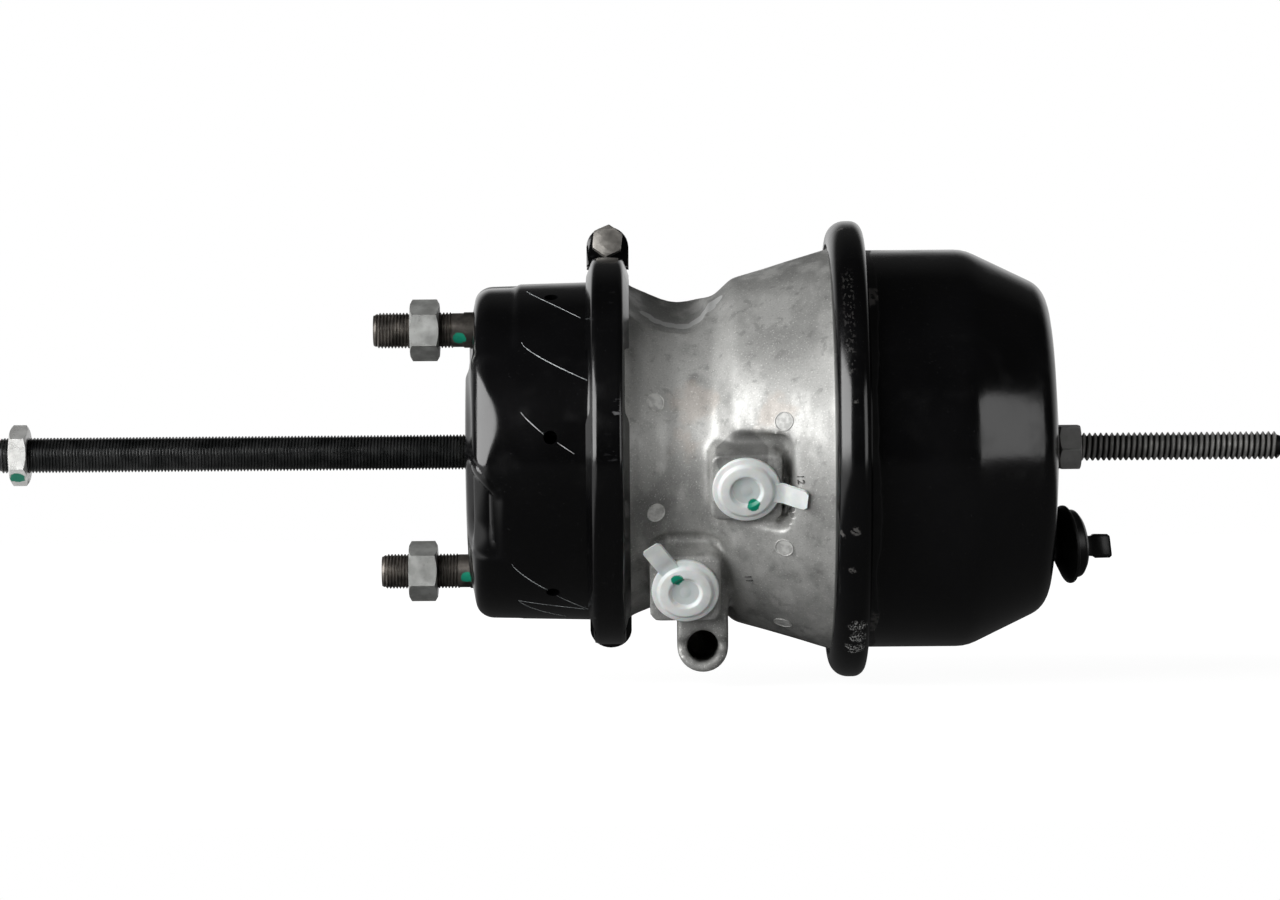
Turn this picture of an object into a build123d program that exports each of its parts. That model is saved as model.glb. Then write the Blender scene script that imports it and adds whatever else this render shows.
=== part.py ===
from build123d import *

import os
from math import cos, degrees, hypot, radians, sin, tan

# Double-diaphragm spring brake chamber, in millimetres.
# The origin is the centre of the stud pattern on the mounting face. +X runs along the chamber towards the
# spring housing, -Y is the port side and +Z is up. Angles round the chamber are counted from the port
# side (0) over the top (90).

# ---------------------------------------------------------------- driving dimensions

# Fits and clearances
seat_gap = 0.05          # between faces that are clamped together
running_fit = 0.05       # radial, shaft in bush
body_gap = 0.3           # between a moving body and its neighbour
contact_gap = 0.1        # face to face, moving body on its seat

# Service housing
cup_radius = 76.6
cup_wall = 3.5
cup_mouth_radius = 75.4
cup_shoulder_x = 5.6
cup_face_radius = 58.0
cup_shoulder_bend = 9.0
cup_face_bend = 12.0
cup_flange_bend = 2.0
drain_count = 6
drain_diameter = 6.0
drain_x = 39.3
drain_turn = 4.5
guide_hole_radius = 12.5

# Mounting studs and nuts, M16 x 1.5
stud_pitch_circle = 120.65
stud_diameter = 16.0
stud_shank_diameter = 15.2
stud_shank_length = 6.0
stud_length = 40.5
stud_turn = 65.0
stud_angles = (stud_turn, stud_turn - 180.0)
stud_seat_x = 6.0
stud_head_radius = 9.6
stud_head_height = 4.0
stud_pad_radius = 9.5
stud_chamfer = 1.6
m16_across_flats = 24.0
m16_nut_height = 13.0
m16_jam_height = 8.0
stud_nut_x = (-13.5, -15.0)
stud_nut_corner = (88.4, 92.0)

# Pressed relief of the service housing
stud_relief_half_arc = 29.0
stud_relief_depth = 1.4
stud_relief_length = 24.0
side_pocket_turn = -25.0
side_pocket_half_arc = 14.0
side_pocket_length = 17.0
side_pocket_depth = 6.0

# Push rod, M16 x 1.5
push_rod_diameter = 16.0
push_rod_tip_x = -213.0
push_rod_chamfer = 1.8
jam_nut_x = -203.0
jam_nut_corner = 93.0
guide_bore_gap = 0.25
guide_flange_radius = 20.0
guide_flange = 3.0

# Push plate at rest
push_plate_x = 79.0
push_plate_radius = 47.0
push_plate_rim = 5.0
push_plate_wall = 4.0

# Service clamp, a V band in two halves
clamp_x = 64.4
clamp_half_width = 9.6
clamp_flat_half_width = 6.5
clamp_radius = 87.8
clamp_mouth_radius = 79.4
clamp_wall = 2.8
clamp_bend = 3.2
clamp_top_split = 99.0
clamp_bottom_split = -120.0
clamp_split_gap = 3.0
clamp_notch = (10.6, 32.8)
ear_centre_radius = 93.4
ear_radius = 9.6
ear_wall = 3.6
clamp_bolt_radius = 95.4
clamp_bolt_diameter = 8.0
clamp_bolt_clearance = 0.3
clamp_bolt_tail = 2.5
m8_across_flats = 13.0
m8_head_height = 5.3
m8_nut_height = 6.5
clamp_bolt_corner = 24.0

# Service diaphragm
diaphragm_wall = 3.2
flange_tip_radius = 84.3
bead_inner_radius = 78.6
service_disc_radius = 50.0

# Intermediate flange
flange_face_x = 66.7
waist_x = 93.0
waist_radius = 67.3
neck_cone_x = 75.0
neck_cone_radius = 74.5
step_start = (111.8, 69.6)
step_end = (120.5, 77.7)
spring_cone_slope = 0.3
web_service_x = 88.0
web_spring_x = 103.0
hub_radius = 22.0
hub_end_x = 124.0
service_bowl_radius = 56.0
service_bowl_bend = 8.0
bead_ledge = 1.0
web_groove_depth = 5.0
web_groove_radii = (30.0, 50.0)
rib_count = 8
rib_width = 4.5
rib_height = 9.0
rib_root = 2.0
bowl_radius = 60.0
bowl_step_lead = 1.5
bowl_step_rise = 2.5
adapter_wall = 5.7

# Ports, both drilled the same way
port_turn = -24.0
port_pad_width = 31.3
port_pad_corner = 4.5
port_bore_radius = 7.25
port_bore_depth = 15.0
port_passage_radius = 3.5
service_port_x = 98.0
service_port_offset = -31.8
service_port_face = 79.8
spring_port_x = 124.8
spring_port_offset = 16.8
spring_port_face = 79.4
spring_port_inner_depth = 57.0
spring_jacket_size = (46.3, 42.3)
spring_jacket_shift = (3.0, 2.0)
spring_passage_overrun = 4.0
service_passage_root = 45.0
spring_boss_root = 60.0
service_boss_root = 46.0

# Hollows that the die leaves round the port bosses
spring_hollow_face = 84.0
spring_hollow_size = (41.0, 43.5)
spring_hollow_shift = (1.7, 3.0)
spring_hollow_corner = 7.0
spring_hollow_depth = 17.5
spring_hollow_draft = 12.0
service_hollow_face = 76.0
service_hollow_size = (37.5, 38.0)
service_hollow_shift = (0.5, 3.7)
service_hollow_corner = 11.0
service_hollow_depth = 11.7
service_hollow_draft = 10.0

# Storage tube of the release bolt
tube_x = 105.7
tube_z = -87.2
tube_bore_radius = 7.1
tube_radius = 10.0
tube_head_radius = 11.4
tube_head_length = 14.0
tube_half_length = 46.0
tube_neck_width = 9.0
tube_slot_width = 6.3
tube_slot_depth = 2.5

# Adapter push rod and its seals
adapter_rod_radius = 12.0
adapter_pad_radius = 20.0
adapter_pad_height = 3.0
bush_wall = 3.0
bush_x = (105.0, 120.0)
o_ring_radius = 1.3
o_ring_x = (93.0, 98.5)
o_ring_groove_width = 3.8
circlip_height = 1.5
circlip_depth = 1.6
circlip_inset = 1.2

# Crimped joint of the spring section
ring_left_x = 163.2
ring_radius = 103.3
ring_wall = 2.6
ring_left_bend = 8.5
ring_right_bend = 5.5
crimp_tip_gap = 1.3
crimp_tip_radius = ring_radius - ring_wall - crimp_tip_gap
crimp_lip_radius = 93.0
crimp_flange = 4.45
crimp_corner = 4.3
spring_bead = 2.95

# Spring housing
housing_radius = 90.0
housing_wall = 3.4
housing_bend = 1.2
housing_cone_start = 225.5
housing_cone_end = (263.4, 72.0)
housing_cone_bend = 20.0
housing_edge_bend = 13.0
housing_end_x = 268.6
housing_flat_radius = 18.0
housing_dome_bend = 60.0
bolt_hole_clearance = 1.15
vent_radius = 12.0
vent_y = -27.0
vent_z = -44.5

# Spring piston, held back by the release bolt
adapter_plate_x = 190.0
adapter_plate_wall = 4.0
adapter_plate_radius = 46.0
spring_disc_radius = 70.0
pressure_plate_radius = 66.0
pressure_plate_wall = 4.0
pressure_plate_rim = 8.0
socket_radius = 18.0
socket_pocket_radius = 11.6
socket_lip = 5.0
socket_lip_x = 227.0
socket_play = 7.62
socket_chamfer = 1.5

# Release bolt and nut
release_bolt_diameter = 12.7
bolt_hole_radius = release_bolt_diameter / 2 + bolt_hole_clearance
release_bolt_tip_x = 369.4
release_bolt_chamfer = 2.0
release_head_height = 6.0
release_head_length = 22.0
release_head_width = 7.6
release_nut_flats = 19.05
release_nut_height = 9.7
release_nut_corner = -6.3

# Springs
return_wire = 4.0
return_turns = 5.0
return_radii = (26.0, 38.0)
adapter_wire = 3.2
adapter_turns = 7.0
adapter_spring_radius = 27.0
power_wire = 10.5
power_turns = 4.0
power_radii = (60.0, 48.0)
guide_plate_wall = 2.4
guide_plate_radii = (16.0, 58.0)

# Dust plug
plug_stem_radius = 4.8
plug_stem_chamfer = 1.0
plug_bell_at = 2.4
plug_stem_length = 5.0
plug_flange_radius = 17.75
plug_flange_at = 7.3
plug_flange_wall = 1.4
plug_collar_radius = 15.4
plug_collar_length = 6.0
plug_collar_chamfer = 3.0
plug_tab_width = 11.4
plug_tab_length = 13.5
plug_tab_wall = 3.0
plug_tab_root = 1.0
plug_swing = 12.6
plug_droop = 5.0
plug_lift_turn = 35.0

# Port caps
cap_flange_radius = 14.9
cap_flange_wall = 1.8
cap_ring_radius = 11.7
cap_ring_height = 4.2
cap_dish_radius = 6.6
cap_dish_depth = 5.0
cap_stem_length = 12.0
cap_stem_wall = 1.4
cap_stem_gap = 0.1
cap_tab_width = 9.6
cap_tab_wall = 1.3
cap_tab_lift = 0.1
cap_lip = 0.5
cap_taper = 1.2
cap_tab_reach = 14.9
service_tab_turn = 124.0
service_tab_reach = 27.6
service_tab_rise = 8.0
spring_tab_turn = -12.0
spring_tab_reach = 26.6
spring_tab_rise = 45.0

# ---------------------------------------------------------------- planes, outlines and blanks


def outward(angle):
    """Unit vector from the chamber's axis towards an angle."""
    return Vector(0, -cos(radians(angle)), sin(radians(angle)))


def radial_plane(angle):
    """Plane through the chamber's axis: local x runs along the chamber, local y points out at the angle."""
    return Plane(
        origin=(0, 0, 0),
        x_dir=(1, 0, 0),
        z_dir=(0, -sin(radians(angle)), -cos(radians(angle))),
    )


def facing_plane(x, distance, angle):
    """Plane square to the outward direction of an angle, at a distance from the axis."""
    return Plane(origin=Vector(x, 0, 0) + outward(angle) * distance, x_dir=(1, 0, 0), z_dir=outward(angle))


def cross_plane(x, radius, angle, corner, direction):
    """Plane square to the chamber's axis, centred off it, with local x pointing out at the corner angle."""
    return Plane(
        origin=Vector(x, 0, 0) + outward(angle) * radius,
        x_dir=outward(corner),
        z_dir=(direction, 0, 0),
    )


def moved_right(points, distance):
    """A line of points moved to the right of its direction, with mitred corners."""
    normals = []
    for (x0, y0), (x1, y1) in zip(points, points[1:]):
        length = hypot(x1 - x0, y1 - y0)
        normals.append(((y1 - y0) / length, (x0 - x1) / length))
    moved = []
    for index, (x, y) in enumerate(points):
        before = normals[max(index - 1, 0)]
        after = normals[min(index, len(normals) - 1)]
        scale = distance / (1 + before[0] * after[0] + before[1] * after[1])
        moved.append((x + scale * (before[0] + after[0]), y + scale * (before[1] + after[1])))
    return moved


def turns_right(start, corner, end):
    """True where a line of points turns to the right at its corner."""
    first = (corner[0] - start[0], corner[1] - start[1])
    second = (end[0] - corner[0], end[1] - corner[1])
    return first[0] * second[1] - first[1] * second[0] < 0


def sheet_outline(points, bends, wall):
    """Closed outline of a bent sheet: the line of points, and the same line moved right by the wall."""
    inner_bends = []
    for index, bend in enumerate(bends):
        if turns_right(*points[index : index + 3]):
            inner_bends.append(max(bend - wall, 0))
        else:
            inner_bends.append(bend + wall)
    inner = moved_right(points, wall)
    FilletPolyline(*points, radius=bends)
    FilletPolyline(*inner, radius=inner_bends)
    Line(points[0], inner[0])
    Line(points[-1], inner[-1])


def hex_nut(across_flats, height, bore_radius):
    """Hexagon nut standing on the XY plane, with its corners turned down at both ends."""
    corner_radius = across_flats / 2 / cos(radians(30))
    corner_drop = (corner_radius - across_flats / 2) * tan(radians(30))
    with BuildPart() as nut:
        with BuildSketch():
            RegularPolygon(across_flats / 2, 6, major_radius=False)
            Circle(bore_radius, mode=Mode.SUBTRACT)
        extrude(amount=height)
        with BuildSketch(Plane.XZ):
            with BuildLine():
                Polyline(
                    (0, 0),
                    (across_flats / 2, 0),
                    (corner_radius, corner_drop),
                    (corner_radius, height - corner_drop),
                    (across_flats / 2, height),
                    (0, height),
                    close=True,
                )
            make_face()
        revolve(axis=Axis.Z, mode=Mode.INTERSECT)
    return nut.part


# ---------------------------------------------------------------- clamp faces that the flanges share

clamp_slope = (clamp_half_width - clamp_flat_half_width) / (clamp_radius - clamp_mouth_radius)
clamp_inner = moved_right(
    [
        (clamp_x - clamp_half_width, clamp_mouth_radius),
        (clamp_x - clamp_flat_half_width, clamp_radius),
        (clamp_x + clamp_flat_half_width, clamp_radius),
        (clamp_x + clamp_half_width, clamp_mouth_radius),
    ],
    clamp_wall,
)


def clamp_left_face(radius):
    """X of the cup flange's left face, against the clamp."""
    return clamp_inner[0][0] + clamp_slope * (radius - clamp_inner[0][1]) + seat_gap


def clamp_right_face(radius):
    """X of the intermediate flange's right face, against the clamp."""
    return clamp_inner[3][0] - clamp_slope * (radius - clamp_inner[3][1]) - seat_gap


cup_outline = [
    (0, guide_hole_radius),
    (0, cup_face_radius),
    (cup_shoulder_x, cup_mouth_radius),
    (clamp_left_face(cup_radius), cup_radius),
    (clamp_left_face(flange_tip_radius), flange_tip_radius),
]
cup_inner = moved_right(cup_outline, cup_wall)
cup_inner_tip = cup_inner[-1]


def bead_left_face(radius):
    """X of the service diaphragm's bead, against the cup flange."""
    return cup_inner_tip[0] + clamp_slope * (radius - cup_inner_tip[1]) + seat_gap


# ---------------------------------------------------------------- service housing


def press_forms(growth):
    """Reliefs that are pressed into the cup: two beside the studs, two pockets between them."""
    growth_arc = degrees(growth / cup_radius)
    stud_line = [
        (-cup_wall, cup_mouth_radius - stud_relief_depth),
        (stud_relief_length - stud_relief_depth, cup_mouth_radius - stud_relief_depth / 2),
        (stud_relief_length + stud_relief_depth, cup_radius + stud_relief_depth + growth),
    ]
    pocket_line = [
        (-cup_wall, cup_face_radius - side_pocket_depth / 2),
        (side_pocket_length / 4, cup_mouth_radius - side_pocket_depth),
        (side_pocket_length - side_pocket_depth / 2, cup_mouth_radius - side_pocket_depth / 2),
        (side_pocket_length + side_pocket_depth / 4, cup_radius + side_pocket_depth / 4 + growth),
    ]
    with BuildPart() as forms:
        for half_arc, angles, line in (
            (stud_relief_half_arc, stud_angles, stud_line),
            (side_pocket_half_arc, (side_pocket_turn, side_pocket_turn + 180), pocket_line),
        ):
            for angle in angles:
                with BuildSketch(radial_plane(angle + half_arc + growth_arc)):
                    with BuildLine():
                        edge = moved_right(line, growth)
                        Polyline(*edge, (-2 * cup_wall, edge[-1][1]), (-2 * cup_wall, edge[0][1]), close=True)
                    make_face()
                revolve(axis=Axis.X, revolution_arc=2 * (half_arc + growth_arc))
    return forms.part


with BuildPart() as cup_cavity:
    with BuildSketch(Plane.XZ):
        with BuildLine():
            FilletPolyline(
                (cup_wall, 0),
                *cup_inner[1:],
                (cup_inner_tip[0] + cup_wall, cup_inner_tip[1]),
                (cup_inner_tip[0] + cup_wall, 0),
                radius=[
                    0,
                    cup_face_bend - cup_wall,
                    cup_shoulder_bend - cup_wall,
                    cup_flange_bend + cup_wall,
                    0,
                    0,
                    0,
                ],
                close=True,
            )
        make_face()
    revolve(axis=Axis.X)
    add(press_forms(cup_wall), mode=Mode.SUBTRACT)
    for angle in stud_angles:
        with BuildSketch(cross_plane(cup_wall - seat_gap, stud_pitch_circle / 2, angle, angle, 1)):
            Circle(stud_head_radius + body_gap)
        extrude(amount=stud_seat_x - cup_wall + seat_gap, mode=Mode.SUBTRACT)

with BuildPart() as service_housing:
    with BuildSketch(Plane.XZ):
        with BuildLine():
            FilletPolyline(
                (0, 0),
                *cup_outline[1:],
                cup_inner_tip,
                (cup_inner_tip[0], 0),
                radius=[0, cup_face_bend, cup_shoulder_bend, cup_flange_bend, 0, 0, 0],
                close=True,
            )
        make_face()
    revolve(axis=Axis.X)
    add(press_forms(0), mode=Mode.SUBTRACT)
    for angle in stud_angles:
        with BuildSketch(cross_plane(0, stud_pitch_circle / 2, angle, angle, 1)):
            Circle(stud_pad_radius)
        extrude(amount=stud_seat_x)
    add(cup_cavity.part, mode=Mode.SUBTRACT)
    with BuildSketch(Plane.YZ):
        Circle(guide_hole_radius)
    extrude(amount=cup_wall, mode=Mode.SUBTRACT)
    for angle in stud_angles:
        with BuildSketch(cross_plane(0, stud_pitch_circle / 2, angle, angle, 1)):
            Circle(stud_diameter / 2 + seat_gap)
        extrude(amount=stud_seat_x, mode=Mode.SUBTRACT)
        with BuildSketch(cross_plane(stud_seat_x, stud_pitch_circle / 2, angle, angle, 1)):
            Circle(stud_head_radius + body_gap)
        extrude(amount=stud_head_height + body_gap, mode=Mode.SUBTRACT)
    for index in range(drain_count):
        drain_angle = drain_turn + index * 360 / drain_count
        with BuildSketch(facing_plane(drain_x, cup_radius - 2 * cup_wall, drain_angle)):
            Circle(drain_diameter / 2)
        extrude(amount=3 * cup_wall, mode=Mode.SUBTRACT)

# ---------------------------------------------------------------- mounting studs and their nuts

with BuildPart() as mounting_studs:
    for angle in stud_angles:
        with BuildSketch(cross_plane(-stud_length, stud_pitch_circle / 2, angle, angle, 1)):
            Circle(stud_diameter / 2)
        extrude(amount=stud_length - stud_shank_length)
    chamfer(edges().group_by(Axis.X)[0], length=stud_chamfer)
    for angle in stud_angles:
        with BuildSketch(cross_plane(-stud_shank_length, stud_pitch_circle / 2, angle, angle, 1)):
            Circle(stud_shank_diameter / 2)
        extrude(amount=stud_shank_length)
        with BuildSketch(cross_plane(0, stud_pitch_circle / 2, angle, angle, 1)):
            Circle(stud_diameter / 2)
        extrude(amount=stud_seat_x)
    for angle in stud_angles:
        with BuildSketch(cross_plane(stud_seat_x, stud_pitch_circle / 2, angle, angle, 1)):
            Circle(stud_head_radius)
        extrude(amount=stud_head_height)
    chamfer(edges().group_by(Axis.X)[-1], length=stud_head_height / 4)

m16_nut = hex_nut(m16_across_flats, m16_nut_height, stud_diameter / 2 + seat_gap)
with BuildPart() as stud_nuts:
    for angle, nut_x, corner in zip(stud_angles, stud_nut_x, stud_nut_corner):
        with Locations(cross_plane(nut_x, stud_pitch_circle / 2, angle, corner, -1)):
            add(m16_nut)

# ---------------------------------------------------------------- push rod, plate, guide and jam nut

push_plate_back = push_plate_x - push_plate_wall

with BuildPart() as push_rod:
    with BuildSketch(Plane.YZ.offset(push_rod_tip_x)):
        Circle(push_rod_diameter / 2)
    extrude(amount=push_plate_back - push_rod_tip_x)
    chamfer(edges().group_by(Axis.X)[0], length=push_rod_chamfer)

with BuildPart() as push_plate:
    with BuildSketch(Plane.XZ):
        with BuildLine():
            sheet_outline(
                [
                    (push_plate_x - push_plate_rim - push_plate_wall, push_plate_radius + push_plate_rim),
                    (push_plate_x, push_plate_radius),
                    (push_plate_x, 0),
                ],
                [push_plate_wall * 2],
                push_plate_wall,
            )
        make_face()
    revolve(axis=Axis.X)

with BuildPart() as push_rod_guide:
    with BuildSketch(Plane.XZ):
        with BuildLine():
            Polyline(
                (seat_gap, push_rod_diameter / 2 + guide_bore_gap),
                (seat_gap, guide_hole_radius - seat_gap),
                (cup_wall + seat_gap, guide_hole_radius - seat_gap),
                (cup_wall + seat_gap, guide_flange_radius),
                (cup_wall + guide_flange, guide_flange_radius),
                (cup_wall + guide_flange, push_rod_diameter / 2 + guide_bore_gap),
                close=True,
            )
        make_face()
    revolve(axis=Axis.X)

m16_jam_nut = hex_nut(m16_across_flats, m16_jam_height, push_rod_diameter / 2 + seat_gap)
with BuildPart() as jam_nut:
    with Locations(cross_plane(jam_nut_x, 0, 0, jam_nut_corner, -1)):
        add(m16_jam_nut)

# ---------------------------------------------------------------- service clamp

clamp_section = [
    (clamp_x - clamp_half_width, clamp_mouth_radius),
    (clamp_x - clamp_flat_half_width, clamp_radius),
    (clamp_x + clamp_flat_half_width, clamp_radius),
    (clamp_x + clamp_half_width, clamp_mouth_radius),
]
split_half_arc = degrees(clamp_split_gap / 2 / clamp_radius)
front_arc = clamp_top_split - clamp_bottom_split
ear_root_radius = clamp_radius - clamp_wall
clamp_flange_middle = (clamp_half_width + clamp_flat_half_width) / 2
clamp_notch_height = clamp_radius - clamp_mouth_radius - clamp_bend

# Each split carries its ears: the plane's normal points to falling angles.
with BuildPart() as clamp_front:
    with BuildSketch(radial_plane(clamp_top_split - split_half_arc)):
        with BuildLine():
            sheet_outline(clamp_section, [clamp_bend, clamp_bend], clamp_wall)
        make_face()
    revolve(axis=Axis.X, revolution_arc=front_arc - 2 * split_half_arc)
    with BuildSketch(radial_plane(clamp_notch[1])):
        for side in (-1, 1):
            with Locations((clamp_x + side * clamp_flange_middle, clamp_mouth_radius)):
                Rectangle(clamp_half_width - clamp_flat_half_width, 2 * clamp_notch_height)
    revolve(axis=Axis.X, revolution_arc=clamp_notch[1] - clamp_notch[0], mode=Mode.SUBTRACT)
    for split, side in ((clamp_top_split, 1), (clamp_bottom_split, -1)):
        with BuildSketch(radial_plane(split).offset(side * clamp_split_gap / 2)):
            with Locations((clamp_x, (ear_root_radius + ear_centre_radius) / 2)):
                Rectangle(2 * ear_radius, ear_centre_radius - ear_root_radius)
            with Locations((clamp_x, ear_centre_radius)):
                Circle(ear_radius)
            with Locations((clamp_x, clamp_bolt_radius)):
                Circle(clamp_bolt_diameter / 2 + clamp_bolt_clearance, mode=Mode.SUBTRACT)
        extrude(amount=side * ear_wall)

with BuildPart() as clamp_rear:
    with BuildSketch(radial_plane(clamp_bottom_split - split_half_arc)):
        with BuildLine():
            sheet_outline(clamp_section, [clamp_bend, clamp_bend], clamp_wall)
        make_face()
    revolve(axis=Axis.X, revolution_arc=360 - front_arc - 2 * split_half_arc)
    for split, side in ((clamp_top_split, -1), (clamp_bottom_split, 1)):
        with BuildSketch(radial_plane(split).offset(side * clamp_split_gap / 2)):
            with Locations((clamp_x, (ear_root_radius + ear_centre_radius) / 2)):
                Rectangle(2 * ear_radius, ear_centre_radius - ear_root_radius)
            with Locations((clamp_x, ear_centre_radius)):
                Circle(ear_radius)
            with Locations((clamp_x, clamp_bolt_radius)):
                Circle(clamp_bolt_diameter / 2 + clamp_bolt_clearance, mode=Mode.SUBTRACT)
        extrude(amount=side * ear_wall)

ear_face = clamp_split_gap / 2 + ear_wall + seat_gap


def clamp_bolt_plane(split, side, height):
    """Plane square to a clamp bolt, facing the head's side, at a height above the split."""
    plane = radial_plane(split).offset(side * height)
    origin = Vector(clamp_x, 0, 0) + outward(split) * clamp_bolt_radius + plane.z_dir * side * height
    return Plane(origin=origin, x_dir=(1, 0, 0), z_dir=plane.z_dir * side)


m8_nut = hex_nut(m8_across_flats, m8_nut_height, clamp_bolt_diameter / 2 + seat_gap)
m8_head = hex_nut(m8_across_flats, m8_head_height, clamp_bolt_diameter / 4)
shank_lengths = {
    clamp_top_split: 2 * ear_face + m8_nut_height + clamp_bolt_tail,
    clamp_bottom_split: 2 * ear_face - seat_gap,
}
with BuildPart() as clamp_bolts:
    for split, shank_length in shank_lengths.items():
        with Locations(Location(clamp_bolt_plane(split, 1, ear_face)) * Rot(0, 0, clamp_bolt_corner)):
            add(m8_head)
        with BuildSketch(clamp_bolt_plane(split, 1, ear_face + m8_head_height)):
            Circle(clamp_bolt_diameter / 2)
        extrude(amount=-(m8_head_height + shank_length))

with BuildPart() as clamp_nuts:
    with Locations(clamp_bolt_plane(clamp_top_split, -1, ear_face)):
        add(m8_nut)

# ---------------------------------------------------------------- service diaphragm

service_disc_x = push_plate_x + contact_gap
bead_right_x = flange_face_x - seat_gap
service_disc_back = service_disc_x + diaphragm_wall
bead_root_x = bead_right_x - diaphragm_wall

with BuildPart() as service_diaphragm:
    with BuildSketch(Plane.XZ):
        with BuildLine():
            FilletPolyline(
                (service_disc_x, 0),
                (service_disc_x, service_disc_radius),
                (bead_root_x, bead_inner_radius - diaphragm_wall),
                (bead_left_face(bead_inner_radius), bead_inner_radius),
                (bead_left_face(cup_inner_tip[1]), cup_inner_tip[1]),
                (bead_right_x, cup_inner_tip[1]),
                (bead_right_x, bead_inner_radius - diaphragm_wall / 2),
                (service_disc_back, service_disc_radius + diaphragm_wall / 2),
                (service_disc_back, 0),
                radius=[0, diaphragm_wall * 2, 0, 0, 0, 0, diaphragm_wall, diaphragm_wall * 3, 0],
                close=True,
            )
        make_face()
    revolve(axis=Axis.X)

# ---------------------------------------------------------------- intermediate flange

crimp_left_x = ring_left_x + ring_wall + seat_gap
crimp_right_x = crimp_left_x + crimp_flange


def spring_cone(x):
    """Outer radius of the cone that carries the spring section."""
    return step_end[1] + spring_cone_slope * (x - step_end[0])


flange_outline = [
    (flange_face_x, 0),
    (flange_face_x, flange_tip_radius),
    (clamp_right_face(flange_tip_radius), flange_tip_radius),
    (clamp_right_face(clamp_mouth_radius - clamp_wall), clamp_mouth_radius - clamp_wall),
    (neck_cone_x, neck_cone_radius),
    (waist_x, waist_radius),
    step_start,
    step_end,
    (crimp_left_x, spring_cone(crimp_left_x)),
    (crimp_left_x, crimp_tip_radius),
    (crimp_right_x, crimp_tip_radius),
    (crimp_right_x, 0),
]

flange_bends = [0, 0.5, 0.5, 1.5, 3, 14, 6, 6, 1.5, crimp_corner, 0, 0]

def port_plane(x, offset, distance):
    """Plane square to the ports' direction, centred on a port."""
    plane = facing_plane(x, distance, port_turn)
    return Plane(origin=plane.origin + plane.y_dir * offset, x_dir=(1, 0, 0), z_dir=plane.z_dir)


with BuildPart() as spring_bowl:
    with BuildSketch(Plane.XZ):
        with BuildLine():
            FilletPolyline(
                (web_spring_x, hub_radius),
                (web_spring_x, bowl_radius),
                (step_start[0] + bowl_step_lead, bowl_radius + bowl_step_rise),
                (step_end[0] + bowl_step_lead, step_end[1] - adapter_wall),
                (crimp_right_x, spring_cone(crimp_right_x) - adapter_wall),
                (crimp_right_x, 0),
                (hub_end_x, 0),
                (hub_end_x, hub_radius),
                radius=[0, adapter_wall, adapter_wall, adapter_wall, 0, 0, 0, 0],
                close=True,
            )
        make_face()
    revolve(axis=Axis.X)
    with BuildSketch(port_plane(spring_port_x, spring_port_offset, spring_port_inner_depth)):
        with Locations(spring_jacket_shift):
            RectangleRounded(*spring_jacket_size, port_pad_corner)
    extrude(amount=spring_port_face - spring_port_inner_depth, mode=Mode.SUBTRACT)

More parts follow.
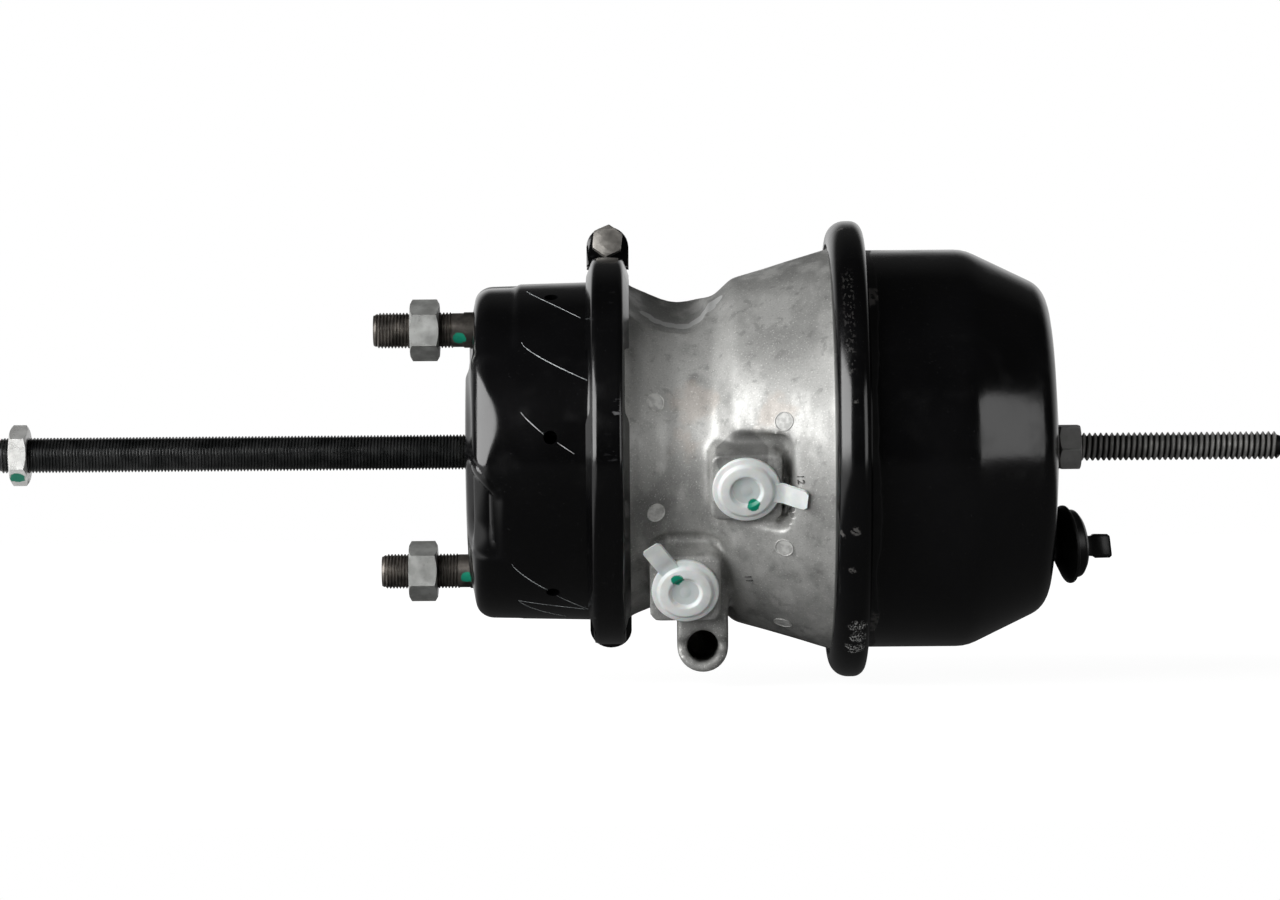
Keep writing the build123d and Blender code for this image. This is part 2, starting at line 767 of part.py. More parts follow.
with BuildPart() as intermediate_flange:
    with BuildSketch(Plane.XZ):
        with BuildLine():
            FilletPolyline(*flange_outline, radius=flange_bends, close=True)
        make_face()
    revolve(axis=Axis.X)
    # Hollows round the port bosses, cut the way the die draws
    with BuildSketch(port_plane(spring_port_x, spring_port_offset, spring_hollow_face)):
        with Locations(spring_hollow_shift):
            RectangleRounded(*spring_hollow_size, spring_hollow_corner)
    extrude(amount=-spring_hollow_depth, taper=spring_hollow_draft, mode=Mode.SUBTRACT)
    with BuildSketch(port_plane(service_port_x, service_port_offset, service_hollow_face)):
        with Locations(service_hollow_shift):
            RectangleRounded(*service_hollow_size, service_hollow_corner)
    extrude(amount=-service_hollow_depth, taper=service_hollow_draft, mode=Mode.SUBTRACT)
    # Port bosses
    with BuildSketch(port_plane(spring_port_x, spring_port_offset, spring_port_face)):
        RectangleRounded(port_pad_width, port_pad_width, port_pad_corner)
    extrude(amount=-(spring_port_face - spring_boss_root))
    with BuildSketch(port_plane(service_port_x, service_port_offset, service_port_face)):
        RectangleRounded(port_pad_width, port_pad_width, port_pad_corner)
    extrude(amount=-(service_port_face - service_boss_root))
    # Storage tube with its wider mouth, and the neck that carries it
    tube_plane = Plane(origin=(tube_x, -tube_half_length, tube_z), x_dir=(1, 0, 0), z_dir=(0, -1, 0))
    with BuildSketch(tube_plane):
        Circle(tube_head_radius)
        with Locations((0, -tube_z / 4)):
            Rectangle(2 * tube_head_radius, -tube_z / 2)
    extrude(amount=-tube_head_length)
    with BuildSketch(tube_plane):
        Circle(tube_radius)
        with Locations((0, -tube_z / 4)):
            Rectangle(tube_neck_width, -tube_z / 2)
    extrude(amount=-2 * tube_half_length)
    # Service bowl and spring bowl
    with BuildSketch(Plane.XZ):
        with BuildLine():
            FilletPolyline(
                (flange_face_x, 0),
                (flange_face_x, bead_inner_radius - bead_ledge),
                (web_service_x, service_bowl_radius),
                (web_service_x, 0),
                radius=[0, 0, service_bowl_bend, 0],
                close=True,
            )
        make_face()
    revolve(axis=Axis.X, mode=Mode.SUBTRACT)
    add(spring_bowl.part, mode=Mode.SUBTRACT)
    # Ring groove in the web, bridged by ribs, and ribs from the hub to the spring bowl
    with BuildSketch(Plane.YZ.offset(web_service_x)):
        Circle(web_groove_radii[1])
        Circle(web_groove_radii[0], mode=Mode.SUBTRACT)
        with PolarLocations(0, rib_count, start_angle=port_turn):
            with Locations((web_groove_radii[1] / 2, 0)):
                Rectangle(web_groove_radii[1], rib_width, mode=Mode.SUBTRACT)
    extrude(amount=web_groove_depth, mode=Mode.SUBTRACT)
    with BuildSketch(Plane.YZ.offset(web_spring_x - rib_root)):
        with PolarLocations(0, rib_count):
            with Locations(((adapter_spring_radius + adapter_wire + bowl_radius) / 2 + rib_root, 0)):
                Rectangle(bowl_radius - adapter_spring_radius - adapter_wire, rib_width)
    extrude(amount=rib_height + rib_root)
    # Bore of the adapter push rod with its bush seat, O-ring grooves and circlip groove
    with BuildSketch(Plane.YZ.offset(web_service_x)):
        Circle(adapter_rod_radius + body_gap)
    extrude(amount=hub_end_x - web_service_x, mode=Mode.SUBTRACT)
    with BuildSketch(Plane.YZ.offset(bush_x[0])):
        Circle(adapter_rod_radius + running_fit + bush_wall + seat_gap)
    extrude(amount=hub_end_x - bush_x[0], mode=Mode.SUBTRACT)
    for ring_x in o_ring_x:
        with BuildSketch(Plane.YZ.offset(ring_x - o_ring_groove_width / 2)):
            Circle(adapter_rod_radius + running_fit + 2 * o_ring_radius + seat_gap)
        extrude(amount=o_ring_groove_width, mode=Mode.SUBTRACT)
    with BuildSketch(Plane.YZ.offset(bush_x[1] + seat_gap)):
        Circle(adapter_rod_radius + bush_wall + circlip_depth + seat_gap)
    extrude(amount=circlip_height + seat_gap, mode=Mode.SUBTRACT)
    # Port threads and passages
    with BuildSketch(port_plane(spring_port_x, spring_port_offset, spring_port_face)):
        Circle(port_bore_radius)
    extrude(amount=-port_bore_depth, mode=Mode.SUBTRACT)
    with BuildSketch(port_plane(spring_port_x, spring_port_offset, spring_port_face)):
        Circle(port_passage_radius)
    extrude(amount=-(spring_port_face - spring_port_inner_depth + spring_passage_overrun), mode=Mode.SUBTRACT)
    with BuildSketch(port_plane(service_port_x, service_port_offset, service_port_face)):
        Circle(port_bore_radius)
    extrude(amount=-port_bore_depth, mode=Mode.SUBTRACT)
    with BuildSketch(port_plane(service_port_x, service_port_offset, service_port_face)):
        Circle(port_passage_radius)
    extrude(amount=-(service_port_face - service_passage_root), mode=Mode.SUBTRACT)
    passage_centre = port_plane(0, service_port_offset, service_passage_root).origin
    with BuildSketch(Plane(origin=(web_service_x, passage_centre.Y, passage_centre.Z), z_dir=(1, 0, 0))):
        Circle(port_passage_radius)
    extrude(amount=service_port_x - web_service_x, mode=Mode.SUBTRACT)
    # Bore of the storage tube, and the slot for the bolt's head
    with BuildSketch(tube_plane):
        Circle(tube_bore_radius)
    extrude(amount=-2 * tube_half_length, mode=Mode.SUBTRACT)
    with BuildSketch(tube_plane):
        Rectangle(4 * tube_head_radius, tube_slot_width)
    extrude(amount=-tube_slot_depth, mode=Mode.SUBTRACT)

# ---------------------------------------------------------------- adapter push rod and its seals

adapter_left_x = service_disc_back + body_gap

with BuildPart() as adapter_push_rod:
    with BuildSketch(Plane.XZ):
        with BuildLine():
            Polyline(
                (adapter_left_x, 0),
                (adapter_left_x, adapter_pad_radius),
                (adapter_left_x + adapter_pad_height, adapter_pad_radius),
                (adapter_left_x + adapter_pad_height, adapter_rod_radius),
                (adapter_plate_x, adapter_rod_radius),
                (adapter_plate_x, adapter_rod_radius * 2 / 3),
                (adapter_plate_x + adapter_plate_wall, adapter_rod_radius * 2 / 3),
                (adapter_plate_x + adapter_plate_wall, 0),
                close=True,
            )
        make_face()
    revolve(axis=Axis.X)

with BuildPart() as web_bush:
    with BuildSketch(Plane.YZ.offset(bush_x[0])):
        Circle(adapter_rod_radius + running_fit + bush_wall)
        Circle(adapter_rod_radius + running_fit, mode=Mode.SUBTRACT)
    extrude(amount=bush_x[1] - bush_x[0])

with BuildPart() as o_rings:
    for ring_x in o_ring_x:
        with Locations(Plane(origin=(ring_x, 0, 0), z_dir=(1, 0, 0))):
            Torus(adapter_rod_radius + running_fit + o_ring_radius, o_ring_radius)

with BuildPart() as bush_circlip:
    with BuildSketch(Plane.YZ.offset(bush_x[1] + 2 * seat_gap)):
        Circle(adapter_rod_radius + bush_wall + circlip_depth)
        Circle(adapter_rod_radius + circlip_inset, mode=Mode.SUBTRACT)
        with Locations((0, -adapter_rod_radius - bush_wall)):
            Rectangle(adapter_rod_radius, 4 * bush_wall, mode=Mode.SUBTRACT)
    extrude(amount=circlip_height - seat_gap)

with BuildPart() as adapter_plate:
    with BuildSketch(Plane.XZ):
        with BuildLine():
            sheet_outline(
                [
                    (adapter_plate_x, adapter_rod_radius * 2 / 3 + seat_gap),
                    (adapter_plate_x, adapter_plate_radius),
                    (adapter_plate_x - adapter_plate_wall * 2, adapter_plate_radius + adapter_plate_wall * 2),
                ],
                [adapter_plate_wall * 2],
                adapter_plate_wall,
            )
        make_face()
    revolve(axis=Axis.X)

# ---------------------------------------------------------------- crimped joint and spring diaphragm

bead_left_x = crimp_right_x + seat_gap
housing_flange_x = bead_left_x + spring_bead + seat_gap
housing_flange_back = housing_flange_x + housing_wall
ring_right_x = housing_flange_back + seat_gap + ring_wall
spring_disc_x = adapter_plate_x + adapter_plate_wall + seat_gap

with BuildPart() as crimp_ring:
    with BuildSketch(Plane.XZ):
        with BuildLine():
            sheet_outline(
                [
                    (ring_left_x, crimp_lip_radius),
                    (ring_left_x, ring_radius),
                    (ring_right_x, ring_radius),
                    (ring_right_x, housing_radius + housing_bend + seat_gap),
                ],
                [ring_left_bend, ring_right_bend],
                ring_wall,
            )
        make_face()
    revolve(axis=Axis.X)

with BuildPart() as spring_diaphragm:
    with BuildSketch(Plane.XZ):
        with BuildLine():
            sheet_outline(
                [
                    (spring_disc_x, 0),
                    (spring_disc_x, spring_disc_radius),
                    (bead_left_x, housing_radius - housing_wall - spring_bead - body_gap),
                    (bead_left_x, crimp_tip_radius),
                ],
                [2 * spring_bead, spring_bead],
                spring_bead,
            )
        make_face()
    revolve(axis=Axis.X)

# ---------------------------------------------------------------- spring housing

with BuildPart() as spring_housing:
    with BuildSketch(Plane.XZ):
        with BuildLine():
            sheet_outline(
                [
                    (housing_flange_back, ring_radius - ring_right_bend),
                    (housing_flange_back, housing_radius),
                    (housing_cone_start, housing_radius),
                    housing_cone_end,
                    (housing_end_x, housing_flat_radius),
                    (housing_end_x, bolt_hole_radius),
                ],
                [housing_bend, housing_cone_bend, housing_edge_bend, housing_dome_bend],
                housing_wall,
            )
        make_face()
    revolve(axis=Axis.X)
    with BuildSketch(Plane(origin=(housing_end_x, vent_y, vent_z), x_dir=(0, 1, 0), z_dir=(1, 0, 0))):
        Circle(vent_radius)
    extrude(amount=-3 * housing_wall, mode=Mode.SUBTRACT)

# ---------------------------------------------------------------- pressure plate, spring guide and springs

pressure_plate_x = spring_disc_x + spring_bead + seat_gap
spring_seat_x = pressure_plate_x + pressure_plate_wall
head_front_x = socket_lip_x - contact_gap
pocket_left_x = head_front_x - release_head_height - socket_play - body_gap

with BuildPart() as pressure_plate:
    with BuildSketch(Plane.XZ):
        with BuildLine():
            sheet_outline(
                [
                    (pressure_plate_x, 0),
                    (pressure_plate_x, pressure_plate_radius),
                    (pressure_plate_x + pressure_plate_rim, pressure_plate_radius + pressure_plate_rim / 2),
                ],
                [pressure_plate_wall * 1.5],
                pressure_plate_wall,
            )
        make_face()
    revolve(axis=Axis.X)
    with BuildSketch(Plane.YZ.offset(pressure_plate_x)):
        Circle(socket_radius)
    extrude(amount=socket_lip_x + socket_lip - pressure_plate_x)
    chamfer(edges().group_by(Axis.X)[-1], length=socket_chamfer)
    with BuildSketch(Plane.YZ.offset(pocket_left_x)):
        Circle(socket_pocket_radius)
    extrude(amount=socket_lip_x - pocket_left_x, mode=Mode.SUBTRACT)
    with BuildSketch(Plane.YZ.offset(socket_lip_x)):
        Circle(release_bolt_diameter / 2 + body_gap)
        Rectangle(release_head_length + 2 * body_gap, release_head_width + 2 * body_gap)
    extrude(amount=socket_lip, mode=Mode.SUBTRACT)


def housing_end_inside(radius):
    """X of the end wall's inside."""
    rise = (housing_end_x - housing_cone_end[0]) / (housing_cone_end[1] - housing_flat_radius)
    return housing_end_x - housing_wall - max(radius - housing_flat_radius, 0) * rise


guide_inner, guide_outer = guide_plate_radii
guide_left_x = housing_end_inside(guide_outer) - guide_plate_wall - body_gap

with BuildPart() as spring_guide:
    with BuildSketch(Plane.XZ):
        with BuildLine():
            Polyline(
                (guide_left_x, guide_inner),
                (guide_left_x, guide_outer),
                (guide_left_x + guide_plate_wall, guide_outer),
                (housing_end_inside(guide_inner) - body_gap, guide_inner),
                close=True,
            )
        make_face()
    revolve(axis=Axis.X)
    with BuildSketch(Plane(origin=(housing_end_x, vent_y, vent_z), x_dir=(0, 1, 0), z_dir=(1, 0, 0))):
        Circle(vent_radius)
    extrude(amount=-4 * housing_wall, mode=Mode.SUBTRACT)


def coil_height(seat_left, seat_right, wire):
    """Rise of a coil's centre line between two seats."""
    return seat_right - seat_left - wire - 2 * contact_gap


power_height = coil_height(spring_seat_x, guide_left_x, power_wire)
with BuildPart() as power_spring:
    with BuildLine() as power_line:
        Helix(
            power_height / power_turns,
            power_height,
            power_radii[0],
            center=(spring_seat_x + power_wire / 2 + contact_gap, 0, 0),
            direction=(1, 0, 0),
            cone_angle=degrees((power_radii[1] - power_radii[0]) / power_height),
        )
    with BuildSketch(Plane(origin=power_line.line @ 0, z_dir=power_line.line % 0)):
        Circle(power_wire / 2)
    sweep(is_frenet=True)

adapter_height = coil_height(web_spring_x, adapter_plate_x, adapter_wire)
with BuildPart() as adapter_return_spring:
    with BuildLine() as adapter_line:
        Helix(
            adapter_height / adapter_turns,
            adapter_height,
            adapter_spring_radius,
            center=(web_spring_x + adapter_wire / 2 + contact_gap, 0, 0),
            direction=(1, 0, 0),
        )
    with BuildSketch(Plane(origin=adapter_line.line @ 0, z_dir=adapter_line.line % 0)):
        Circle(adapter_wire / 2)
    sweep(is_frenet=True)

return_height = coil_height(cup_wall, push_plate_back, return_wire)
with BuildPart() as return_spring:
    with BuildLine() as return_line:
        Helix(
            return_height / return_turns,
            return_height,
            return_radii[0],
            center=(cup_wall + return_wire / 2 + contact_gap, 0, 0),
            direction=(1, 0, 0),
            cone_angle=degrees((return_radii[1] - return_radii[0]) / return_height),
        )
    with BuildSketch(Plane(origin=return_line.line @ 0, z_dir=return_line.line % 0)):
        Circle(return_wire / 2)
    sweep(is_frenet=True)

# ---------------------------------------------------------------- release bolt and nut

with BuildPart() as release_bolt:
    with BuildSketch(Plane.YZ.offset(head_front_x)):
        Circle(release_bolt_diameter / 2)
    extrude(amount=release_bolt_tip_x - head_front_x)
    chamfer(edges().group_by(Axis.X)[-1], length=release_bolt_chamfer)
    with BuildSketch(Plane.YZ.offset(head_front_x - release_head_height)):
        Rectangle(release_head_width, release_head_length)
        Circle(release_head_length / 2, mode=Mode.INTERSECT)
    extrude(amount=release_head_height)

release_nut_x = housing_end_x + contact_gap
release_blank = hex_nut(release_nut_flats, release_nut_height, release_bolt_diameter / 2 + running_fit)
with BuildPart() as release_nut:
    with Locations(cross_plane(release_nut_x, 0, 0, release_nut_corner, 1)):
        add(release_blank)

# ---------------------------------------------------------------- dust plug, half out of the vent hole

plug_offset = vent_radius - plug_stem_radius - body_gap
plug_y = vent_y + plug_offset * cos(radians(plug_lift_turn))
plug_z = vent_z + plug_offset * sin(radians(plug_lift_turn))
plug_axis = Vector(
    cos(radians(plug_swing)) * cos(radians(plug_droop)),
    sin(radians(plug_swing)),
    -sin(radians(plug_droop)),
)
plug_wall_x = housing_end_inside(hypot(plug_y, plug_z)) + housing_wall
plug_plane = Plane(
    origin=(plug_wall_x, plug_y, plug_z),
    x_dir=plug_axis,
    z_dir=Vector(0, 0, 1).cross(plug_axis) * -1,
)
plug_collar_end = plug_flange_at + plug_flange_wall + plug_collar_length

with BuildPart() as dust_plug:
    with BuildSketch(plug_plane):
        with BuildLine():
            Polyline(
                (-plug_stem_length, 0),
                (-plug_stem_length, plug_stem_radius - plug_stem_chamfer),
                (-plug_stem_length + plug_stem_chamfer, plug_stem_radius),
                (plug_bell_at, plug_stem_radius),
            )
            Spline(
                (plug_bell_at, plug_stem_radius),
                (plug_flange_at / 2, (plug_flange_radius + plug_stem_radius / 2) / 2),
                (plug_flange_at, plug_flange_radius),
            )
            Polyline(
                (plug_flange_at, plug_flange_radius),
                (plug_flange_at + plug_flange_wall, plug_flange_radius),
                (plug_flange_at + plug_flange_wall, plug_collar_radius),
                (plug_collar_end - plug_collar_chamfer / 2, plug_collar_radius),
                (plug_collar_end, plug_collar_radius - plug_collar_chamfer),
                (plug_collar_end, 0),
                (-plug_stem_length, 0),
            )
        make_face()
    revolve(axis=Axis(plug_plane.origin, plug_axis))
    tab_plane = Plane(
        origin=plug_plane.origin + plug_axis * (plug_collar_end - plug_tab_root),
        x_dir=plug_plane.y_dir,
        z_dir=plug_axis,
    )
    with BuildSketch(tab_plane):
        RectangleRounded(plug_tab_width, plug_tab_wall, plug_tab_wall / 3)
    extrude(amount=plug_tab_length)

# ---------------------------------------------------------------- port caps


def port_cap(face_plane, tab_turn, tab_reach, tab_rise):
    """Plastic cap with its hollow stem in the port and a tear tab."""
    section_plane = Plane(origin=face_plane.origin, x_dir=face_plane.x_dir, z_dir=face_plane.y_dir * -1)
    stem_radius = port_bore_radius - cap_stem_gap
    with BuildPart() as cap:
        with BuildSketch(section_plane):
            with BuildLine():
                Polyline(
                    (0, cap_ring_height - cap_dish_depth - cap_stem_wall),
                    (stem_radius - cap_stem_wall, cap_ring_height - cap_dish_depth - cap_stem_wall),
                    (stem_radius - cap_stem_wall, -cap_stem_length),
                    (stem_radius, -cap_stem_length),
                    (stem_radius, contact_gap),
                    (cap_flange_radius, contact_gap),
                    (cap_flange_radius, cap_flange_wall),
                    (cap_ring_radius + cap_taper, cap_flange_wall + cap_lip),
                    (cap_ring_radius, cap_ring_height),
                    (cap_dish_radius + cap_taper, cap_ring_height),
                    (cap_dish_radius, cap_ring_height - cap_dish_depth + cap_taper),
                    (cap_dish_radius, cap_ring_height - cap_dish_depth),
                    (0, cap_ring_height - cap_dish_depth),
                    close=True,
                )
            make_face()
        revolve(axis=Axis(face_plane.origin, face_plane.z_dir))
        tab_direction = face_plane.x_dir * cos(radians(tab_turn)) + face_plane.y_dir * sin(radians(tab_turn))
        side_direction = face_plane.z_dir.cross(tab_direction)
        flat_plane = Plane(
            origin=face_plane.origin + face_plane.z_dir * contact_gap,
            x_dir=tab_direction,
            z_dir=side_direction * -1,
        )
        with BuildSketch(flat_plane.offset(-cap_tab_width / 2)):
            with BuildLine():
                rise = tan(radians(tab_rise))
                end_height = cap_tab_lift + contact_gap + (tab_reach - cap_tab_reach) * rise
                Polyline(
                    (cap_ring_radius, cap_tab_lift),
                    (cap_tab_reach, cap_tab_lift),
                    (tab_reach, end_height),
                    (tab_reach - cap_tab_wall * sin(radians(tab_rise)), end_height + cap_tab_wall),
                    (cap_tab_reach, cap_tab_lift + cap_tab_wall),
                    (cap_ring_radius, cap_tab_lift + cap_tab_wall),
                    close=True,
                )
            make_face()
        extrude(amount=cap_tab_width)
    return cap.part


port_cap_11 = port_cap(
    port_plane(service_port_x, service_port_offset, service_port_face),
    service_tab_turn,
    service_tab_reach,
    service_tab_rise,
)
port_cap_12 = port_cap(
    port_plane(spring_port_x, spring_port_offset, spring_port_face),
    spring_tab_turn,
    spring_tab_reach,
    spring_tab_rise,
)

# ---------------------------------------------------------------- export

pieces = {
    "service_housing": service_housing.part,
    "mounting_studs": mounting_studs.part,
    "stud_nuts": stud_nuts.part,
    "push_rod": push_rod.part,
    "push_plate": push_plate.part,
    "push_rod_guide": push_rod_guide.part,
    "jam_nut": jam_nut.part,
    "clamp_front": clamp_front.part,
    "clamp_rear": clamp_rear.part,
    "clamp_bolts": clamp_bolts.part,
    "clamp_nuts": clamp_nuts.part,
    "service_diaphragm": service_diaphragm.part,
    "intermediate_flange": intermediate_flange.part,
    "adapter_push_rod": adapter_push_rod.part,
    "web_bush": web_bush.part,
    "o_rings": o_rings.part,
    "bush_circlip": bush_circlip.part,
    "adapter_plate": adapter_plate.part,
    "crimp_ring": crimp_ring.part,
    "spring_diaphragm": spring_diaphragm.part,
    "spring_housing": spring_housing.part,
    "pressure_plate": pressure_plate.part,
    "spring_guide": spring_guide.part,
    "power_spring": power_spring.part,
    "adapter_return_spring": adapter_return_spring.part,
    "return_spring": return_spring.part,
    "release_bolt": release_bolt.part,
    "release_nut": release_nut.part,
    "dust_plug": dust_plug.part,
    "port_cap_11": port_cap_11,
    "port_cap_12": port_cap_12,
}

os.makedirs("parts", exist_ok=True)
for name, piece in pieces.items():
    piece.label = name
    export_step(piece, f"parts/{name}.step")
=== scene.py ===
"""Visual model of a double-diaphragm spring brake chamber, laid out as an add-on and run as a script."""

import math

import bmesh
import bpy
from mathutils import Matrix, Vector
from mathutils import noise as field


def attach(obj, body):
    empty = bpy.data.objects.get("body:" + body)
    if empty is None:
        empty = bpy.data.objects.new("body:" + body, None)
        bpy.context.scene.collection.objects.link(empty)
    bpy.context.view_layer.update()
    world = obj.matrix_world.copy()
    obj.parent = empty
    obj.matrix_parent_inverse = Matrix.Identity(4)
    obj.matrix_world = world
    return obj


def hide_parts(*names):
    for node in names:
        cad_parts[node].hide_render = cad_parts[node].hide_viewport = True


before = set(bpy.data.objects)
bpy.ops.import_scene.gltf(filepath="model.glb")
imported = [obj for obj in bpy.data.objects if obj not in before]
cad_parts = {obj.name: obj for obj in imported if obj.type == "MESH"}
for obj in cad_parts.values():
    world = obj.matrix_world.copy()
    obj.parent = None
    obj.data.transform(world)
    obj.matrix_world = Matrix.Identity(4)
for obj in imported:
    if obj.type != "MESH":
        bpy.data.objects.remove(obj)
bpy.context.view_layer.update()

bl_info = {
    "name": "Spring Brake Chamber",
    "version": (1, 0, 0),
    "blender": (4, 5, 0),
    "location": "3D View > Sidebar > Chamber",
    "description": "Builds the pieces, finishes and studio of a spring brake chamber round its CAD frame",
    "category": "Object",
}

MM = 0.001
ROOT = "chamber"
DEGREES = math.radians(1)

# Places on the chamber, in millimetres and degrees. Angles count from the port side over the top.
# A LINE is an outline of x and radius, its BENDS are the radii at its inner corners.
STUD_RADIUS = 8.0
STUD_CIRCLE = 60.325
STUD_ANGLES = (65.0, -115.0)
STUD_ENDS = (-40.5, -4.5)
STUD_SHANK = [(-5.6, 0), (-5.6, 7.2), (-5.2, 7.6), (0.1, 7.6), (0.1, 8.0)]
STUD_SHANK += [(6.1, 8.0), (6.1, 9.6), (10.0, 9.6), (10.0, 0)]
ROD_RADIUS = 8.0
ROD_ENDS = (-213.0, 75.0)
ROD_THREAD = (-213.0, 2.0)
BOLT_RADIUS = 6.35
BOLT_ENDS = (226.9, 369.4)
BOLT_THREAD = (232.0, 369.4)
BOLT_HEAD_X = 220.9
BOLT_HEAD = [(-3.8, -10.3), (3.8, -10.3), (3.8, 10.3), (-3.8, 10.3)]
BOLT_HEAD_THICKNESS = 6.0
FINE_DEPTH = 0.9
COARSE_DEPTH = 1.5
CUP_LINE = [(0, 12.5), (0, 58.0), (5.6, 75.4), (56.8, 76.6), (59.65, 84.3)]
CUP_BENDS = [12.0, 9.0, 2.0]
CUP_WALL = 3.5
CUP_SEGMENTS = 500
# Pressed reliefs of the cup: half the angle of a flat, then how deep or high each form is.
FLAT_HALF = 31
FLAT_DEPTH = 1.5
CORNER_DEPTH = 2.6
POCKET_LEAD = 1.7
POCKET_DEPTH = 4.4
POCKET_LIP = 0.9
POCKET_EDGE = 14.2
CLAMP_X = 64.4
CLAMP_LINE = [(-9.6, 79.4), (-6.5, 87.8), (6.5, 87.8), (9.6, 79.4)]
CLAMP_WALL = 2.8
CLAMP_TOP = 99.0
CLAMP_BOTTOM = -120.0
EAR_THICKNESS = 3.8
EAR_RADIUS = 9.6
EAR_MIDDLE = 93.4
EAR_FOOT = 84.6
EAR_GAP = 1.5
PORT_TURN = -24.0
SCOOP_ANGLES = (71.5, 251.5)
SERVICE_PORT = (98.0, -31.8, 79.8)
SPRING_PORT = (124.8, 16.8, 79.4)
HOUSING_LINE = [(176.75, 97.8), (176.75, 90.0), (225.5, 90.0), (261.6, 72.6), (267.2, 20.0), (268.4, 7.5)]
HOUSING_BENDS = [1.2, 20.0, 13.0, 60.0]
HOUSING_WALL = 3.4
RING_LINE = [(163.2, 93.0), (163.2, 103.3), (179.4, 103.3), (179.4, 91.3)]
RING_BENDS = [8.5, 5.5]
RING_WALL = 2.6
VENT = (-27.0, -44.5, 12.0)
PLUG_ORIGIN = (262.2, -21.35, -44.6)
PLUG_AXIS = (0.9703, 0.2181, 0.1045)
PAINT_GLOSS = 0.7
UPPER_NUT_SHIFT = 2.5
JAM_NUT_SHIFT = 3.9
TUBE_PLACE = (105.7, -87.2)
DRAINS = [4.5 + 60 * index for index in range(6)]
DRAIN_X = 39.3
# Score lines on the cup: x and angle at the start, x and angle at the end, bow, width.
SCORES = [
    (28.3, 71.0, 52.5, 50.4, 0.75, 0.30),
    (26.5, 39.3, 55.7, 23.8, 0.70, 0.36),
    (26.5, 13.0, 36.4, 5.6, 0.85, 0.34),
    (42.3, 2.8, 49.8, -1.0, 1.0, 0.26),
    (21.5, -41.0, 37.0, -54.0, 0.8, 0.34),
    (41.0, -57.5, 54.8, -67.6, 1.0, 0.26),
    (23.7, -61.0, 44.7, -77.0, 0.75, 0.26),
    (24.0, -61.3, 53.4, -67.7, 0.9, 0.16),
]
# Where the clamp's side flanges are cut back: centre and half width in degrees, passage, share left.
FRONT_CUTS = [(21.7, 13.0, 3.2, 0.40), (-96.0, 34.0, 8.0, 0.06), (97.0, 6.0, 4.0, 0.45)]
REAR_CUTS = [(201.5, 13.0, 3.2, 0.40)]
# Ejector marks: x and angle.
EJECTOR_MARKS = [(85.5, 17.6), (85.4, -23.0), (141.3, 8.3), (141.3, -31.0), (141.7, -67.4)]
EJECTOR_MARKS += [(85.5, 197.6), (85.4, 157.0), (141.3, 188.3), (141.3, 149.0)]
# Port numbers: text, x and angle.
PORT_NUMBERS = (("12", 148.2, -8.8), ("11", 125.9, -45.9))
NUMBER_SIZE = 4.6
NUMBER_HEIGHT = 0.35
CAP_LINE = [(-2.2, 0), (-2.2, 5.7), (-12.0, 5.9), (-12.0, 7.1), (0.1, 7.1), (0.1, 14.9), (1.9, 14.9)]
CAP_LINE += [(2.4, 12.6), (3.9, 11.4), (4.3, 7.4), (2.9, 6.2), (2.6, 2.6), (3.1, 0)]
CAP_BENDS = [0.6, 0.3, 0.4, 0.2, 0.4, 0.8, 1.2, 1.1, 1.0, 0.8, 0.8]
PLUG_LINE = [(-4.9, 0), (-4.9, 3.4), (-3.6, 4.7), (2.4, 4.7), (3.4, 9.5), (7.3, 17.6), (8.7, 17.6)]
PLUG_LINE += [(8.9, 15.6), (12.6, 15.2), (14.5, 12.4), (14.6, 0)]
PLUG_BENDS = [1.0, 1.0, 2.0, 8.0, 0.6, 0.5, 0.6, 2.0, 1.2]
# Sections of the plug's pull tab: distance along the plug, half width, half thickness.
PLUG_TAB = [(13.5, 5.2, 1.5), (18.0, 4.6, 1.4), (20.2, 4.8, 1.5)]
PLUG_TAB += [(21.4, 5.6, 2.2), (27.4, 5.5, 2.3), (28.7, 4.6, 1.4)]
# Lamps: name, azimuth, elevation, distance, width, height, power.
LAMPS = [
    ("left_softbox", -54, 16, 1.8, 2.2, 1.3, 50),
    ("right_softbox", 52, 8, 1.8, 0.8, 1.0, 4),
]
FLOOR_LEVEL = -0.106
FLOOR_CORNERS = [(-2.6, -0.75), (2.8, -0.75), (2.8, 3.2), (-2.6, 3.2)]


# ---------------------------------------------------------------- sizes and colours


class ChamberSizes(bpy.types.PropertyGroup):
    """Sizes that a user may change."""

    fine_pitch: bpy.props.FloatProperty(
        name="Fine pitch", description="Pitch of the stud and push rod threads", default=0.0015, unit="LENGTH"
    )
    coarse_pitch: bpy.props.FloatProperty(
        name="Coarse pitch", description="Pitch of the release bolt's thread", default=0.00254, unit="LENGTH"
    )
    casting_grain: bpy.props.FloatProperty(
        name="Casting grain", description="Mesh size of the cast flange", default=0.00125, unit="LENGTH"
    )
    segments: bpy.props.IntProperty(
        name="Segments", description="Segments round the spring housing and crimp ring", default=256, min=24
    )


class ChamberColours(bpy.types.PropertyGroup):
    """Colours that a user may change."""

    paint: bpy.props.FloatVectorProperty(
        name="Paint",
        description="Black paint of the housings",
        default=(0.0015, 0.0015, 0.0017),
        subtype="COLOR",
    )
    casting: bpy.props.FloatVectorProperty(
        name="Casting", description="Bare cast aluminium", default=(0.46, 0.46, 0.445), subtype="COLOR"
    )
    dab: bpy.props.FloatVectorProperty(
        name="Dab", description="Green marking paint", default=(0.0, 0.28, 0.17), subtype="COLOR"
    )
    floor: bpy.props.FloatVectorProperty(
        name="Floor", description="Floor under the chamber", default=(0.38, 0.38, 0.38), subtype="COLOR"
    )


